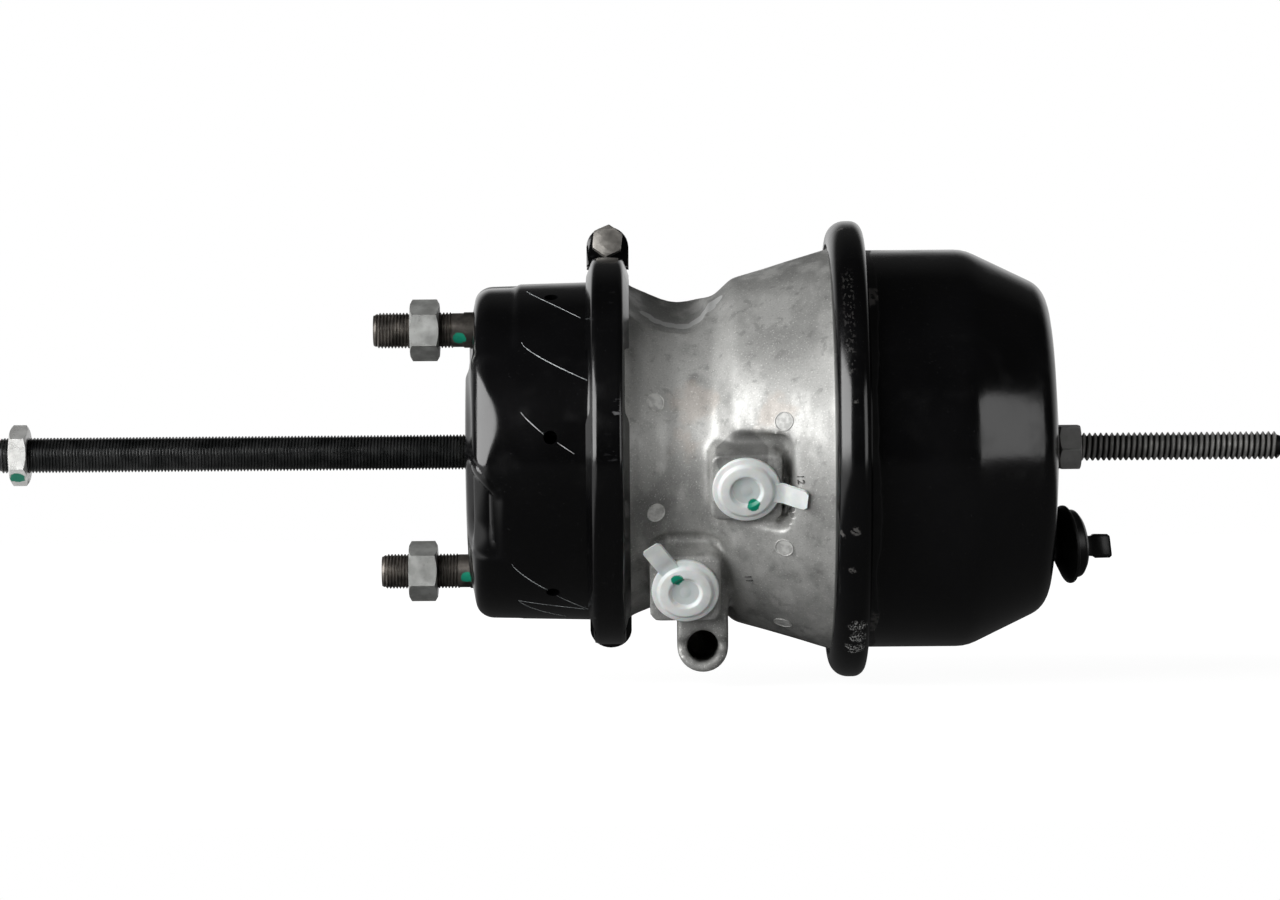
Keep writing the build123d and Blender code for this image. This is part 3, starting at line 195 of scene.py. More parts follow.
class StudioSettings(bpy.types.PropertyGroup):
    """Settings of the stage's camera."""

    distance: bpy.props.FloatProperty(
        name="Distance", description="From the camera to the chamber's axis", default=2.0, unit="LENGTH"
    )
    roll: bpy.props.FloatProperty(
        name="Roll", description="Roll of the camera", default=math.radians(0.48), subtype="ANGLE"
    )
    lens: bpy.props.FloatProperty(name="Lens", description="Focal length in millimetres", default=123.8)


def sizes():
    return bpy.context.scene.chamber_sizes


def colours():
    return bpy.context.scene.chamber_colours


# ---------------------------------------------------------------- shapes


def outward(angle):
    """Unit vector from the chamber's axis towards an angle."""
    return Vector((0, -math.cos(angle * DEGREES), math.sin(angle * DEGREES)))


def smooth(value, low, high):
    """0 below low, 1 above high, with a soft passage."""
    part = min(max((value - low) / (high - low), 0), 1)
    return part * part * (3 - 2 * part)


def window(value, low, high, soft):
    """1 between low and high, fading to 0 over soft inside both ends."""
    return smooth(value, low, low + soft) * (1 - smooth(value, high - soft, high))


def away(angle, centre):
    """Angle from a centre, between -180 and 180 degrees."""
    return (angle - centre + 180) % 360 - 180


def moved_right(points, distance):
    """A line of points moved to the right of its direction, with mitred corners."""
    normals = []
    for (x0, y0), (x1, y1) in zip(points, points[1:]):
        length = math.hypot(x1 - x0, y1 - y0)
        normals.append(((y1 - y0) / length, (x0 - x1) / length))
    moved = []
    for index, (x, y) in enumerate(points):
        before = normals[max(index - 1, 0)]
        after = normals[min(index, len(normals) - 1)]
        scale = distance / (1 + before[0] * after[0] + before[1] * after[1])
        moved.append((x + scale * (before[0] + after[0]), y + scale * (before[1] + after[1])))
    return moved


def rounded(points, bends, step=8.0):
    """A line of points with arcs at its inner corners."""
    line = [points[0]]
    for start, corner, end, bend in zip(points, points[1:], points[2:], bends):
        here = Vector(corner)
        back = (Vector(start) - here).normalized()
        ahead = (Vector(end) - here).normalized()
        turn = math.pi - back.angle(ahead)
        if bend <= 0 or turn < 0.01:
            line.append(corner)
            continue
        reach = bend * math.tan(turn / 2)
        centre = here + (back + ahead).normalized() * (bend / math.cos(turn / 2))
        first = here + back * reach - centre
        side = 1 if back.cross(ahead) < 0 else -1
        count = max(2, round(math.degrees(turn) / step))
        for index in range(count + 1):
            arm = first.copy()
            arm.rotate(Matrix.Rotation(side * turn * index / count, 2))
            line.append(tuple(centre + arm))
    line.append(points[-1])
    return line


def dense(line, longest):
    """A line with its long runs divided."""
    made = [line[0]]
    for (x0, y0), (x1, y1) in zip(line, line[1:]):
        count = max(1, math.ceil(math.hypot(x1 - x0, y1 - y0) / longest))
        for index in range(1, count + 1):
            made.append((x0 + (x1 - x0) * index / count, y0 + (y1 - y0) * index / count))
    return made


def sheet_line(points, bends, wall, longest=1000.0, inner_longest=1000.0):
    """Outline of a bent sheet: out along the line and back along the line moved right by the wall."""
    inner_bends = []
    for start, corner, end, bend in zip(points, points[1:], points[2:], bends):
        first = Vector(corner) - Vector(start)
        second = Vector(end) - Vector(corner)
        right = first.x * second.y - first.y * second.x < 0
        inner_bends.append(max(bend - wall, 0) if right else bend + wall)
    inner = rounded(moved_right(points, wall), inner_bends)
    return dense(rounded(points, bends), longest) + dense(inner, inner_longest)[::-1]


def new_mesh(bm, name, sharp=35.0, turned=True):
    """The bmesh as an object at the origin, smooth but for its sharp edges."""
    bmesh.ops.remove_doubles(bm, verts=bm.verts, dist=1e-6)
    if turned:
        bmesh.ops.recalc_face_normals(bm, faces=bm.faces)
    for face in bm.faces:
        face.smooth = True
    mesh = bpy.data.meshes.new(name)
    bm.to_mesh(mesh)
    bm.free()
    mesh.set_sharp_from_angle(angle=math.radians(sharp))
    made = bpy.data.objects.new(name, mesh)
    bpy.context.scene.collection.objects.link(made)
    return made


def placed(made, body, material, nodes=()):
    """Gives a finished piece its material and body, and lets it stand for its CAD nodes."""
    made.data.materials.clear()
    made.data.materials.append(material)
    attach(made, body)
    if nodes:
        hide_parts(*nodes)


def axis_frame(origin, direction):
    """Matrix that takes the X axis to a direction and the origin to a point, both in metres."""
    turn = Vector((1, 0, 0)).rotation_difference(Vector(direction))
    return Matrix.Translation(Vector(origin)) @ turn.to_matrix().to_4x4()


def lathe(bm, line, segments=None, shape=None, where=None):
    """Turns a closed outline in millimetres about the X axis. shape(x, r, angle) may move a point."""
    segments = segments or sizes().segments
    where = where or Matrix()
    rings = []
    for x, r in line:
        ring = []
        for index in range(segments if r > 1e-6 else 1):
            angle = 360 * index / segments
            px, pr = shape(x, r, angle) if shape else (x, r)
            ring.append(bm.verts.new(where @ ((Vector((px, 0, 0)) + outward(angle) * pr) * MM)))
        rings.append(ring)
    for first, second in zip(rings, rings[1:] + rings[:1]):
        for index in range(segments):
            after = (index + 1) % segments
            corners = [
                first[index % len(first)],
                first[after % len(first)],
                second[after % len(second)],
                second[index % len(second)],
            ]
            distinct = list(dict.fromkeys(corners))
            if len(distinct) > 2:
                bm.faces.new(distinct)


def swept(bm, sections):
    """Skins closed sections of equally many points, in metres, and caps both ends."""
    rings = [[bm.verts.new(point) for point in section] for section in sections]
    for first, second in zip(rings, rings[1:]):
        for index in range(len(first)):
            after = (index + 1) % len(first)
            bm.faces.new((first[index], first[after], second[after], second[index]))
    bm.faces.new(rings[0][::-1])
    bm.faces.new(rings[-1])


def slab(bm, outline, origin, across, up, thickness, bevel):
    """A plate: an outline in millimetres, drawn along two directions and given a thickness and soft edges."""
    through = Vector(across).cross(Vector(up)).normalized()
    corners = [Vector(origin) + Vector(across) * x + Vector(up) * y for x, y in outline]
    low = [bm.verts.new(point * MM) for point in corners]
    high = [bm.verts.new((point + through * thickness) * MM) for point in corners]
    made = [bm.faces.new(low[::-1]), bm.faces.new(high)]
    for index in range(len(low)):
        after = (index + 1) % len(low)
        made.append(bm.faces.new((low[index], low[after], high[after], high[index])))
    rim = [edge for face in made[:2] for edge in face.edges]
    bmesh.ops.bevel(bm, geom=rim, offset=bevel * MM, segments=2, profile=0.6, affect="EDGES")


def node_copy(node, name, sharp=30.0):
    """A merged copy of a CAD node's mesh, smooth but for its sharp edges."""
    bm = bmesh.new()
    bm.from_mesh(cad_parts[node].data)
    return new_mesh(bm, name, sharp, turned=False)


def with_modifiers(made):
    """Turns an object's modifiers into plain mesh."""
    graph = bpy.context.evaluated_depsgraph_get()
    graph.update()
    mesh = bpy.data.meshes.new_from_object(made.evaluated_get(graph))
    made.modifiers.clear()
    made.data = mesh
    return made


def cut_with(made, cutter):
    """Cuts a closed piece away from another."""
    modifier = made.modifiers.new("cut", "BOOLEAN")
    modifier.operation = "DIFFERENCE"
    modifier.solver = "EXACT"
    modifier.object = cutter
    with_modifiers(made)
    bpy.data.objects.remove(cutter)
    made.data.set_sharp_from_angle(angle=math.radians(35))


def merged(name, *parts):
    """Several loose pieces as one."""
    bm = bmesh.new()
    for part in parts:
        bm.from_mesh(part.data)
    made = new_mesh(bm, name, turned=False)
    for part in parts:
        bpy.data.objects.remove(part)
    return made


# ---------------------------------------------------------------- node trees


class Nodes:
    """Adds nodes to a tree. A node's inputs are values to set or sockets to link."""

    def __init__(self, tree):
        self.tree = tree

    def node(self, kind, inputs=None, **settings):
        made = self.tree.nodes.new(kind)
        for key, value in settings.items():
            setattr(made, key, value)
        for key, value in (inputs or {}).items():
            if isinstance(value, bpy.types.NodeSocket):
                self.tree.links.new(value, made.inputs[key])
            else:
                made.inputs[key].default_value = value
        return made

    def range(self, value, low, high, start=0.0, end=1.0):
        made = self.node(
            "ShaderNodeMapRange",
            {"Value": value, "From Min": low, "From Max": high, "To Min": start, "To Max": end},
            interpolation_type="SMOOTHSTEP",
        )
        return made.outputs[0]

    def maths(self, operation, first, second):
        return self.node("ShaderNodeMath", {0: first, 1: second}, operation=operation).outputs[0]

    def times(self, first, second):
        return self.maths("MULTIPLY", first, second)

    def larger(self, first, second):
        return self.maths("MAXIMUM", first, second)


def tree_with(name, inputs):
    """A geometry node tree with named number inputs and a material input."""
    tree = bpy.data.node_groups.new(name, "GeometryNodeTree")
    tree.interface.new_socket("Geometry", in_out="INPUT", socket_type="NodeSocketGeometry")
    for label, value in inputs.items():
        kind = "NodeSocketInt" if isinstance(value, int) else "NodeSocketFloat"
        tree.interface.new_socket(label, in_out="INPUT", socket_type=kind).default_value = value
    tree.interface.new_socket("Material", in_out="INPUT", socket_type="NodeSocketMaterial")
    tree.interface.new_socket("Geometry", in_out="OUTPUT", socket_type="NodeSocketGeometry")
    return tree


def tree_output(nodes, geometry, material):
    """Ends a tree in Realize Instances and Set Material."""
    real = nodes.node("GeometryNodeRealizeInstances", {0: geometry})
    coat = nodes.node("GeometryNodeSetMaterial", {"Geometry": real.outputs[0], "Material": material})
    nodes.node("NodeGroupOutput", {0: coat.outputs[0]})


def thread_tree():
    """A helical ridge of trapezoid section, wound along Z from the origin."""
    name = "screw_thread"
    if name in bpy.data.node_groups:
        return bpy.data.node_groups[name]
    tree = tree_with(name, {"Radius": 0.008, "Depth": 0.0009, "Pitch": 0.0015, "Turns": 10.0, "Steps": 24})
    nodes = Nodes(tree)
    given = nodes.node("NodeGroupInput").outputs
    half = nodes.times(given["Depth"], 0.5)
    root = nodes.times(given["Pitch"], 0.47)
    crest = nodes.times(given["Pitch"], 0.09)
    middle = nodes.maths("SUBTRACT", given["Radius"], half)
    inputs = {"Resolution": given["Steps"], "Rotations": given["Turns"], "Start Radius": middle}
    inputs |= {"End Radius": middle, "Height": nodes.times(given["Turns"], given["Pitch"]), "Reverse": False}
    spiral = nodes.node("GeometryNodeCurveSpiral", inputs)
    upright = nodes.node("GeometryNodeSetCurveNormal", {0: spiral.outputs[0]}, mode="Z_UP")
    points = {}
    corners = ((crest, 1, 1), (crest, 1, -1), (root, -1, -1), (root, -1, 1))
    for index, (width, side, end) in enumerate(corners):
        inputs = {0: nodes.times(half, -side), 1: nodes.times(width, end)}
        points[f"Point {index + 1}"] = nodes.node("ShaderNodeCombineXYZ", inputs).outputs[0]
    section = nodes.node("GeometryNodeCurvePrimitiveQuadrilateral", points, mode="POINTS")
    inputs = {"Curve": upright.outputs[0], "Profile Curve": section.outputs[0], "Fill Caps": True}
    skin = nodes.node("GeometryNodeCurveToMesh", inputs)
    tree_output(nodes, skin.outputs[0], given["Material"])
    return tree


def copies_tree():
    """Copies of a small object at the vertices of a mesh, turned along their direction attribute."""
    tree = tree_with("copies_on_points", {"Size": 1.0})
    tree.interface.new_socket("Shape", in_out="INPUT", socket_type="NodeSocketObject")
    nodes = Nodes(tree)
    given = nodes.node("NodeGroupInput").outputs
    shape = nodes.node("GeometryNodeObjectInfo", {"Object": given["Shape"]})
    facing = nodes.node("GeometryNodeInputNamedAttribute", {"Name": "direction"}, data_type="FLOAT_VECTOR")
    inputs = {"Vector": facing.outputs["Attribute"]}
    turn = nodes.node("FunctionNodeAlignRotationToVector", inputs, axis="X")
    inputs = {"Points": given["Geometry"], "Instance": shape.outputs["Geometry"]}
    inputs |= {"Rotation": turn.outputs[0], "Scale": given["Size"]}
    spread = nodes.node("GeometryNodeInstanceOnPoints", inputs)
    tree_output(nodes, spread.outputs[0], given["Material"])
    return tree


def made_by_tree(name, tree, values, start=None):
    """Runs a geometry node tree on a mesh and returns the plain result."""
    made = bpy.data.objects.new(name, start or bpy.data.meshes.new(name))
    bpy.context.scene.collection.objects.link(made)
    modifier = made.modifiers.new("tree", "NODES")
    modifier.node_group = tree
    for item in tree.interface.items_tree:
        if item.in_out == "INPUT" and item.name in values:
            modifier[item.identifier] = values[item.name]
    return with_modifiers(made)


def screw(name, ends, radius, pitch, depth, thread, material, chamfers, slope=1.0, centre=(0, 0)):
    """A screw along X: a core between its ends, and a helical thread between the thread's two places."""
    start, end = ends
    low, high = thread
    core = radius - depth * 0.9
    line = [(start, 0)]
    if low > start:
        line += [(start, radius), (low, radius), (low + depth, core)]
    else:
        line += [(start, min(core, radius - chamfers[0] * slope)), (start + chamfers[0], core)]
    if high < end:
        line += [(high - depth, core), (high, radius), (end, radius)]
    else:
        line += [(end - chamfers[1], core), (end, min(core, radius - chamfers[1] * slope))]
    line += [(end, 0)]
    bm = bmesh.new()
    lathe(bm, line, 48, where=Matrix.Translation(Vector((0, *centre)) * MM))
    body = new_mesh(bm, name + "_core")
    inset = pitch * 0.5
    ridge = made_by_tree(
        name + "_ridge",
        thread_tree(),
        {
            "Radius": radius * MM,
            "Depth": depth * MM,
            "Pitch": pitch * MM,
            "Turns": (high - low) / pitch - 1,
            "Steps": 24,
            "Material": material,
        },
    )
    where = Matrix.Translation(Vector((low + inset, *centre)) * MM) @ Matrix.Rotation(math.pi / 2, 4, "Y")
    ridge.data.transform(where)
    for vertex in ridge.data.vertices:
        point = vertex.co / MM - Vector((0, *centre))
        past = max(start + chamfers[0] - point.x, point.x - end + chamfers[1], 0)
        limit = radius - past * slope
        reach = math.hypot(point.y, point.z)
        if reach > limit:
            scale = max(limit, 0.5) / reach
            vertex.co = Vector((point.x, centre[0] + point.y * scale, centre[1] + point.z * scale)) * MM
    return merged(name, body, ridge)


# ---------------------------------------------------------------- finishes


class Finish(Nodes):
    """A node material, built up step by step on Object coordinates."""

    def __init__(self, name):
        self.material = bpy.data.materials.new(name)
        self.material.use_nodes = True
        super().__init__(self.material.node_tree)
        self.surface = self.tree.nodes["Principled BSDF"]
        self.place = self.node("ShaderNodeTexCoord").outputs["Object"]
        self.normal = None

    def noise(self, scale, detail=3.0, stretch=None):
        place = self.place
        if stretch:
            place = self.node("ShaderNodeMapping", {"Vector": place, "Scale": stretch}).outputs[0]
        made = self.node("ShaderNodeTexNoise", {"Vector": place, "Scale": scale, "Detail": detail})
        return made.outputs["Fac"]

    def mix(self, factor, first, second):
        made = self.node("ShaderNodeMix", data_type="RGBA")
        for socket, value in ((made.inputs[0], factor), (made.inputs[6], first), (made.inputs[7], second)):
            if isinstance(value, bpy.types.NodeSocket):
                self.tree.links.new(value, socket)
            elif isinstance(value, (int, float)):
                socket.default_value = value
            else:
                socket.default_value = (*value, 1)
        return made.outputs[2]

    def near(self, point, radius, soft, scale=500.0):
        """1 within a ragged blob round a point in millimetres."""
        gap = self.node("ShaderNodeVectorMath", {0: self.place, 1: Vector(point) * MM}, operation="DISTANCE")
        waver = self.range(self.noise(scale), 0, 1, -soft * MM, soft * MM)
        ragged = self.maths("ADD", gap.outputs["Value"], waver)
        return self.range(ragged, (radius + soft * 0.4) * MM, (radius - soft * 0.4) * MM)

    def spots(self, points, soft, scale):
        """1 within any of several ragged blobs, each a point and a radius in millimetres."""
        found = None
        for point, radius in points:
            blob = self.near(point, radius, soft, scale)
            found = self.larger(found, blob) if found else blob
        return found

    def along(self, axis=0):
        """One of the three Object coordinates, in metres."""
        return self.node("ShaderNodeSeparateXYZ", {0: self.place}).outputs[axis]

    def radius(self):
        """Distance from the chamber's axis, in metres."""
        flat = self.node("ShaderNodeVectorMath", {0: self.place, 1: (0, 1, 1)}, operation="MULTIPLY")
        return self.node("ShaderNodeVectorMath", {0: flat.outputs[0]}, operation="LENGTH").outputs["Value"]

    def bump(self, height, depth, strength):
        inputs = {"Height": height, "Distance": depth * MM, "Strength": strength}
        if self.normal:
            inputs["Normal"] = self.normal
        self.normal = self.node("ShaderNodeBump", inputs).outputs[0]

    def done(self, colour, roughness, metallic=0.0, **sockets):
        if self.normal:
            self.tree.links.new(self.normal, self.surface.inputs["Normal"])
        sockets.update({"Base Color": colour, "Roughness": roughness, "Metallic": metallic})
        for name, value in sockets.items():
            socket = self.surface.inputs[name.replace("_", " ")]
            if isinstance(value, bpy.types.NodeSocket):
                self.tree.links.new(value, socket)
            elif isinstance(value, (tuple, Vector)) and len(value) == 3:
                socket.default_value = (*value, 1)
            else:
                socket.default_value = value
        return self.material


def kept(build):
    """Makes a finish once and returns it from then on."""
    made = {}

    def finish():
        if build not in made:
            made[build] = build()
        return made[build]

    return finish


def paint_on(finish):
    """Colour and roughness of black gloss paint with dust, fingermarks and a light orange peel."""
    paint = Vector(colours().paint)
    cloud = finish.noise(18, 4)
    specks = finish.range(finish.noise(1500, 2), 0.70, 0.76)
    smears = finish.range(finish.noise(60, 5, (1, 2.5, 1)), 0.5, 0.75)
    colour = finish.mix(finish.range(cloud, 0.35, 0.7), paint, paint * 2.2)
    colour = finish.mix(finish.times(specks, 0.07), colour, (0.35, 0.35, 0.36))
    rough = finish.maths("ADD", finish.range(cloud, 0.3, 0.7, 0.12, 0.19), finish.times(smears, 0.1))
    finish.bump(finish.noise(330, 2), 0.03, 0.3)
    finish.bump(finish.noise(45, 2), 0.25, 0.2)
    return colour, rough


@kept
def cup_paint():
    finish = Finish("cup_paint")
    colour, rough = paint_on(finish)
    return finish.done(colour, rough, Specular_IOR_Level=PAINT_GLOSS)


@kept
def housing_paint():
    """Black paint with a dull smear beside the crimp, which ends in a wavy line."""
    finish = Finish("housing_paint")
    colour, rough = paint_on(finish)
    place = finish.maths("ADD", finish.along(), finish.range(finish.noise(30, 3), 0.3, 0.7, -0.0012, 0.0012))
    smear = finish.range(place, 0.1832, 0.1826)
    patchy = finish.times(smear, finish.range(finish.noise(90, 6), 0.35, 0.7, 0.25, 1.0))
    edge = finish.times(smear, finish.range(place, 0.1818, 0.1828))
    bare = finish.spots([((179.5, -45.6, -77.6), 8.5), ((178.0, -60.0, 67.0), 6.5)], 3.0, 260)
    bare = finish.times(finish.times(bare, smear), finish.range(finish.noise(420, 4), 0.4, 0.6))
    colour = finish.mix(finish.times(patchy, 0.04), colour, (0.16, 0.16, 0.17))
    colour = finish.mix(finish.times(edge, 0.12), colour, (0.12, 0.12, 0.13))
    colour = finish.mix(finish.times(bare, 0.6), colour, (0.22, 0.21, 0.20))
    rough = finish.maths("ADD", rough, finish.times(smear, 0.22))
    finish.bump(patchy, 0.10, 0.5)
    finish.bump(finish.noise(240, 4), 0.08, 0.3)
    finish.bump(finish.noise(1100, 3), 0.03, 0.4)
    return finish.done(colour, rough, Specular_IOR_Level=PAINT_GLOSS)


@kept
def ring_paint():
    """Black paint of the crimp ring, with rows of worn ticks, chips and a bare patch on its crown."""
    finish = Finish("ring_paint")
    colour, rough = paint_on(finish)
    crown = finish.range(finish.radius(), 0.1018, 0.1029)
    ticks = finish.range(finish.noise(560, 5, (1.6, 1, 1)), 0.53, 0.60)
    areas = [((169.5, -86.4, 56.1), 27.0), ((169.5, 86.4, 56.1), 24.0), ((169.5, 60.0, -84.0), 24.0)]
    zone = finish.spots(areas, 8.0, 60)
    begin = finish.range(finish.along(), 0.1664, 0.1674)
    strip = finish.times(begin, finish.range(finish.along(), 0.1730, 0.1718))
    worn = finish.times(finish.times(zone, strip), ticks)
    chips = [((165.9, -93.5, -37.0), 1.5), ((171.6, -96.8, -36.0), 1.8), ((170.3, -88.6, -53.0), 1.6)]
    chips += [((172.0, -101.0, 20.0), 0.8), ((169.0, -30.0, 98.9), 1.6)]
    bare = finish.times(finish.spots(chips, 1.2, 500), finish.range(finish.noise(700, 4), 0.38, 0.55))
    areas = [((173.6, -67.0, -77.5), 3.2), ((174.0, -60.0, -83.0), 3.4), ((173.0, -53.0, -87.5), 3.8)]
    patch = finish.spots(areas, 2.5, 400)
    patch = finish.times(patch, finish.range(finish.noise(1500, 6, (1, 0.6, 0.6)), 0.48, 0.60))
    worn = finish.larger(finish.times(finish.times(worn, crown), 0.3), bare)
    colour = finish.mix(finish.times(worn, 0.35), colour, (0.26, 0.25, 0.24))
    colour = finish.mix(patch, colour, (0.55, 0.55, 0.54))
    rough = finish.maths("ADD", rough, finish.times(worn, 0.25))
    finish.bump(worn, -0.03, 0.5)
    return finish.done(colour, rough, Specular_IOR_Level=PAINT_GLOSS)


@kept
def clamp_paint():
    """Black paint of the clamp band, scuffed beside its right edge."""
    finish = Finish("clamp_paint")
    colour, rough = paint_on(finish)
    strokes = finish.range(finish.noise(420, 6, (0.4, 1.4, 1.4)), 0.62, 0.70)
    patches = finish.range(finish.noise(30, 2), 0.54, 0.64)
    scuffs = finish.spots([((71.0, -85.0, 18.5), 4.5), ((71.5, -83.0, 24.0), 3.0)], 2.0, 300)
    worn = finish.times(finish.larger(scuffs, finish.times(patches, 0.15)), strokes)
    colour = finish.mix(finish.times(worn, 0.45), colour, (0.26, 0.26, 0.27))
    rough = finish.maths("ADD", rough, finish.times(worn, 0.3))
    return finish.done(colour, rough, Specular_IOR_Level=PAINT_GLOSS)


@kept
def scratch_metal():
    """Pale bare lines where the paint is scored."""
    finish = Finish("scratch_metal")
    worn = finish.range(finish.noise(900, 3), 0.35, 0.6)
    return finish.done(finish.mix(worn, (0.35, 0.37, 0.38), (0.75, 0.79, 0.8)), 0.45)


@kept
def cast_aluminium():
    """Mottled bare aluminium as it leaves the die, with flow marks, dull stains and a sparkling grain, plus
    painted shade in the recess round the spring port and a painted highlight on the shelf above the scoop.
    """
    finish = Finish("cast_aluminium")
    base = Vector(colours().casting)
    cloud = finish.noise(16, 5)
    flow = finish.noise(85, 8, (1, 0.55, 0.55))
    grain = finish.noise(1500, 5)
    colour = finish.mix(finish.range(cloud, 0.34, 0.66), base * 0.60, base * 1.10)
    colour = finish.mix(finish.range(flow, 0.46, 0.64, 0, 0.6), colour, base * 1.45)
    colour = finish.mix(finish.range(finish.noise(38, 7), 0.54, 0.70, 0, 0.6), colour, base * 0.36)
    colour = finish.mix(finish.range(finish.noise(210, 6), 0.56, 0.70, 0, 0.45), colour, base * 0.45)
    stains = [((102.0, -66.0, 22.0), 9.0), ((137.0, -82.0, 16.0), 8.0), ((99.0, -66.0, 2.0), 6.0)]
    warm = finish.spots(stains, 6.0, 120)
    colour = finish.mix(finish.times(warm, 0.22), colour, (0.56, 0.43, 0.34))
    colour = finish.mix(finish.range(grain, 0.58, 0.72, 0, 0.6), colour, base * 1.9)
    colour = finish.mix(finish.range(grain, 0.44, 0.30, 0, 0.35), colour, base * 0.4)
    # Painted shade: a dark blob over the recess above the spring port's pad.
    shade = finish.near((123.0, -80.0, -3.0), 12.0, 1.2, 90)
    colour = finish.mix(finish.times(shade, 0.6), colour, base * 0.3)
    # Painted highlight: near-white spots along the shelf above the scoop's ledge, where light from above falls.
    shelf_highlight = [((82.0, -27.0, 61.0), 3.8), ((87.0, -30.0, 59.5), 4.2), ((92.0, -31.0, 58.5), 4.8)]
    shelf_highlight += [((98.0, -32.0, 58.0), 5.2), ((104.0, -30.0, 60.0), 5.2), ((109.0, -27.0, 63.0), 4.6)]
    shelf_highlight += [((113.0, -24.0, 66.5), 4.0)]
    colour = finish.mix(finish.times(finish.spots(shelf_highlight, 0.8, 160), 0.6), colour, (0.88, 0.89, 0.88))
    rough = finish.range(flow, 0.35, 0.7, 0.58, 0.40)
    finish.bump(grain, 0.06, 0.55)
    finish.bump(finish.noise(260, 4), 0.16, 0.4)
    finish.bump(finish.noise(50, 3), 0.5, 0.2)
    return finish.done(colour, rough, 0.4)


@kept
def ejector_metal():
    """Smoother, paler aluminium of the ejector marks."""
    finish = Finish("ejector_metal")
    base = Vector(colours().casting)
    colour = finish.mix(finish.range(finish.noise(400, 4), 0.35, 0.65), base * 1.0, base * 1.5)
    finish.bump(finish.noise(900, 3), 0.03, 0.3)
    return finish.done(colour, 0.55, 0.2)


@kept
def number_metal():
    """Duller, darker aluminium of the raised numbers."""
    finish = Finish("number_metal")
    base = Vector(colours().casting)
    colour = finish.mix(finish.range(finish.noise(700, 4), 0.35, 0.65), base * 0.16, base * 0.42)
    finish.bump(finish.noise(900, 3), 0.03, 0.3)
    return finish.done(colour, 0.6, 0.3)


def steel(name, dark, light, low, high, dabs=(), metallic=0.55):
    """Steel with cloudy tone, fine lengthwise marks and optional dabs of green marking paint."""
    finish = Finish(name)
    colour = finish.mix(finish.range(finish.noise(140, 5), 0.35, 0.68), dark, light)
    colour = finish.mix(finish.range(finish.noise(700, 3), 0.62, 0.74, 0, 0.4), colour, Vector(dark) * 0.6)
    rough = finish.range(finish.noise(220, 4), 0.3, 0.7, low, high)
    for point, radius in dabs:
        dab = finish.near(point, radius, 0.7)
        colour = finish.mix(dab, colour, Vector(colours().dab))
        rough = finish.larger(rough, finish.times(dab, 0.55))
        metallic = finish.times(metallic, finish.maths("SUBTRACT", 1.0, dab))
    finish.bump(finish.noise(1100, 3, (0.3, 1, 1)), 0.02, 0.35)
    return finish.done(colour, rough, metallic)


@kept
def stud_steel():
    dabs = [((-1.8, -32.4, 50.6), 2.9), ((-1.5, 18.0, -57.6), 2.6)]
    return steel("stud_steel", (0.085, 0.078, 0.07), (0.22, 0.20, 0.18), 0.32, 0.5, dabs, 0.8)


@kept
def nut_steel():
    return steel("nut_steel", (0.38, 0.385, 0.37), (0.58, 0.59, 0.57), 0.34, 0.5)


@kept
def jam_steel():
    dabs = [((-203.6, -9.0, -13.6), 5.6)]
    return steel("jam_steel", (0.66, 0.66, 0.64), (0.86, 0.86, 0.84), 0.26, 0.38, dabs)


@kept
def bolt_steel():
    return steel("bolt_steel", (0.20, 0.19, 0.175), (0.42, 0.40, 0.37), 0.3, 0.48)


@kept
def release_steel():
    """Dull steel of the caging bolt: pale crests and dark roots. The dark roots are painted shade, and the
    crests' pale tone is partly painted light for fill light that the lamps don't bring.
    """
    finish = Finish("release_steel")
    # Painted shade: below the crests the thread roots turn near black.
    crest = finish.range(finish.radius(), 0.0050, 0.0062)
    colour = finish.mix(finish.range(finish.noise(140, 5), 0.35, 0.68), (0.46, 0.455, 0.44), (0.72, 0.71, 0.69))
    colour = finish.mix(crest, (0.02, 0.02, 0.019), colour)
    finish.bump(finish.noise(1100, 3), 0.02, 0.35)
    return finish.done(colour, finish.range(finish.noise(220, 4), 0.3, 0.7, 0.4, 0.55), 0.7)


@kept
def release_nut_steel():
    # Mid-grey steel whose pale tone is partly painted light, raised for fill light that the lamps don't bring
    # round the housing to the nut.
    return steel("release_nut_steel", (0.42, 0.42, 0.41), (0.52, 0.52, 0.51), 0.5, 0.65, metallic=0.1)


@kept
def rod_steel():
    return steel("rod_steel", (0.012, 0.013, 0.013), (0.035, 0.036, 0.036), 0.24, 0.36, metallic=0.4)


@kept
def pressed_steel():
    return steel("pressed_steel", (0.22, 0.22, 0.21), (0.42, 0.42, 0.41), 0.32, 0.5)


@kept
def spring_steel():
    return steel("spring_steel", (0.02, 0.02, 0.022), (0.06, 0.06, 0.065), 0.3, 0.5)


def rubber(name, dark, light, low, high):
    finish = Finish(name)
    colour = finish.mix(finish.range(finish.noise(60, 5), 0.35, 0.68), dark, light)
    finish.bump(finish.noise(1400, 2), 0.02, 0.4)
    return finish.done(colour, finish.range(finish.noise(90, 4), 0.3, 0.7, low, high))


@kept
def diaphragm_rubber():
    return rubber("diaphragm_rubber", (0.012, 0.012, 0.012), (0.03, 0.03, 0.03), 0.55, 0.75)


@kept
def plug_rubber():
    return rubber("plug_rubber", (0.006, 0.006, 0.006), (0.014, 0.014, 0.014), 0.28, 0.42)


@kept
def bush_plastic():
    return rubber("bush_plastic", (0.50, 0.46, 0.36), (0.62, 0.58, 0.47), 0.4, 0.55)


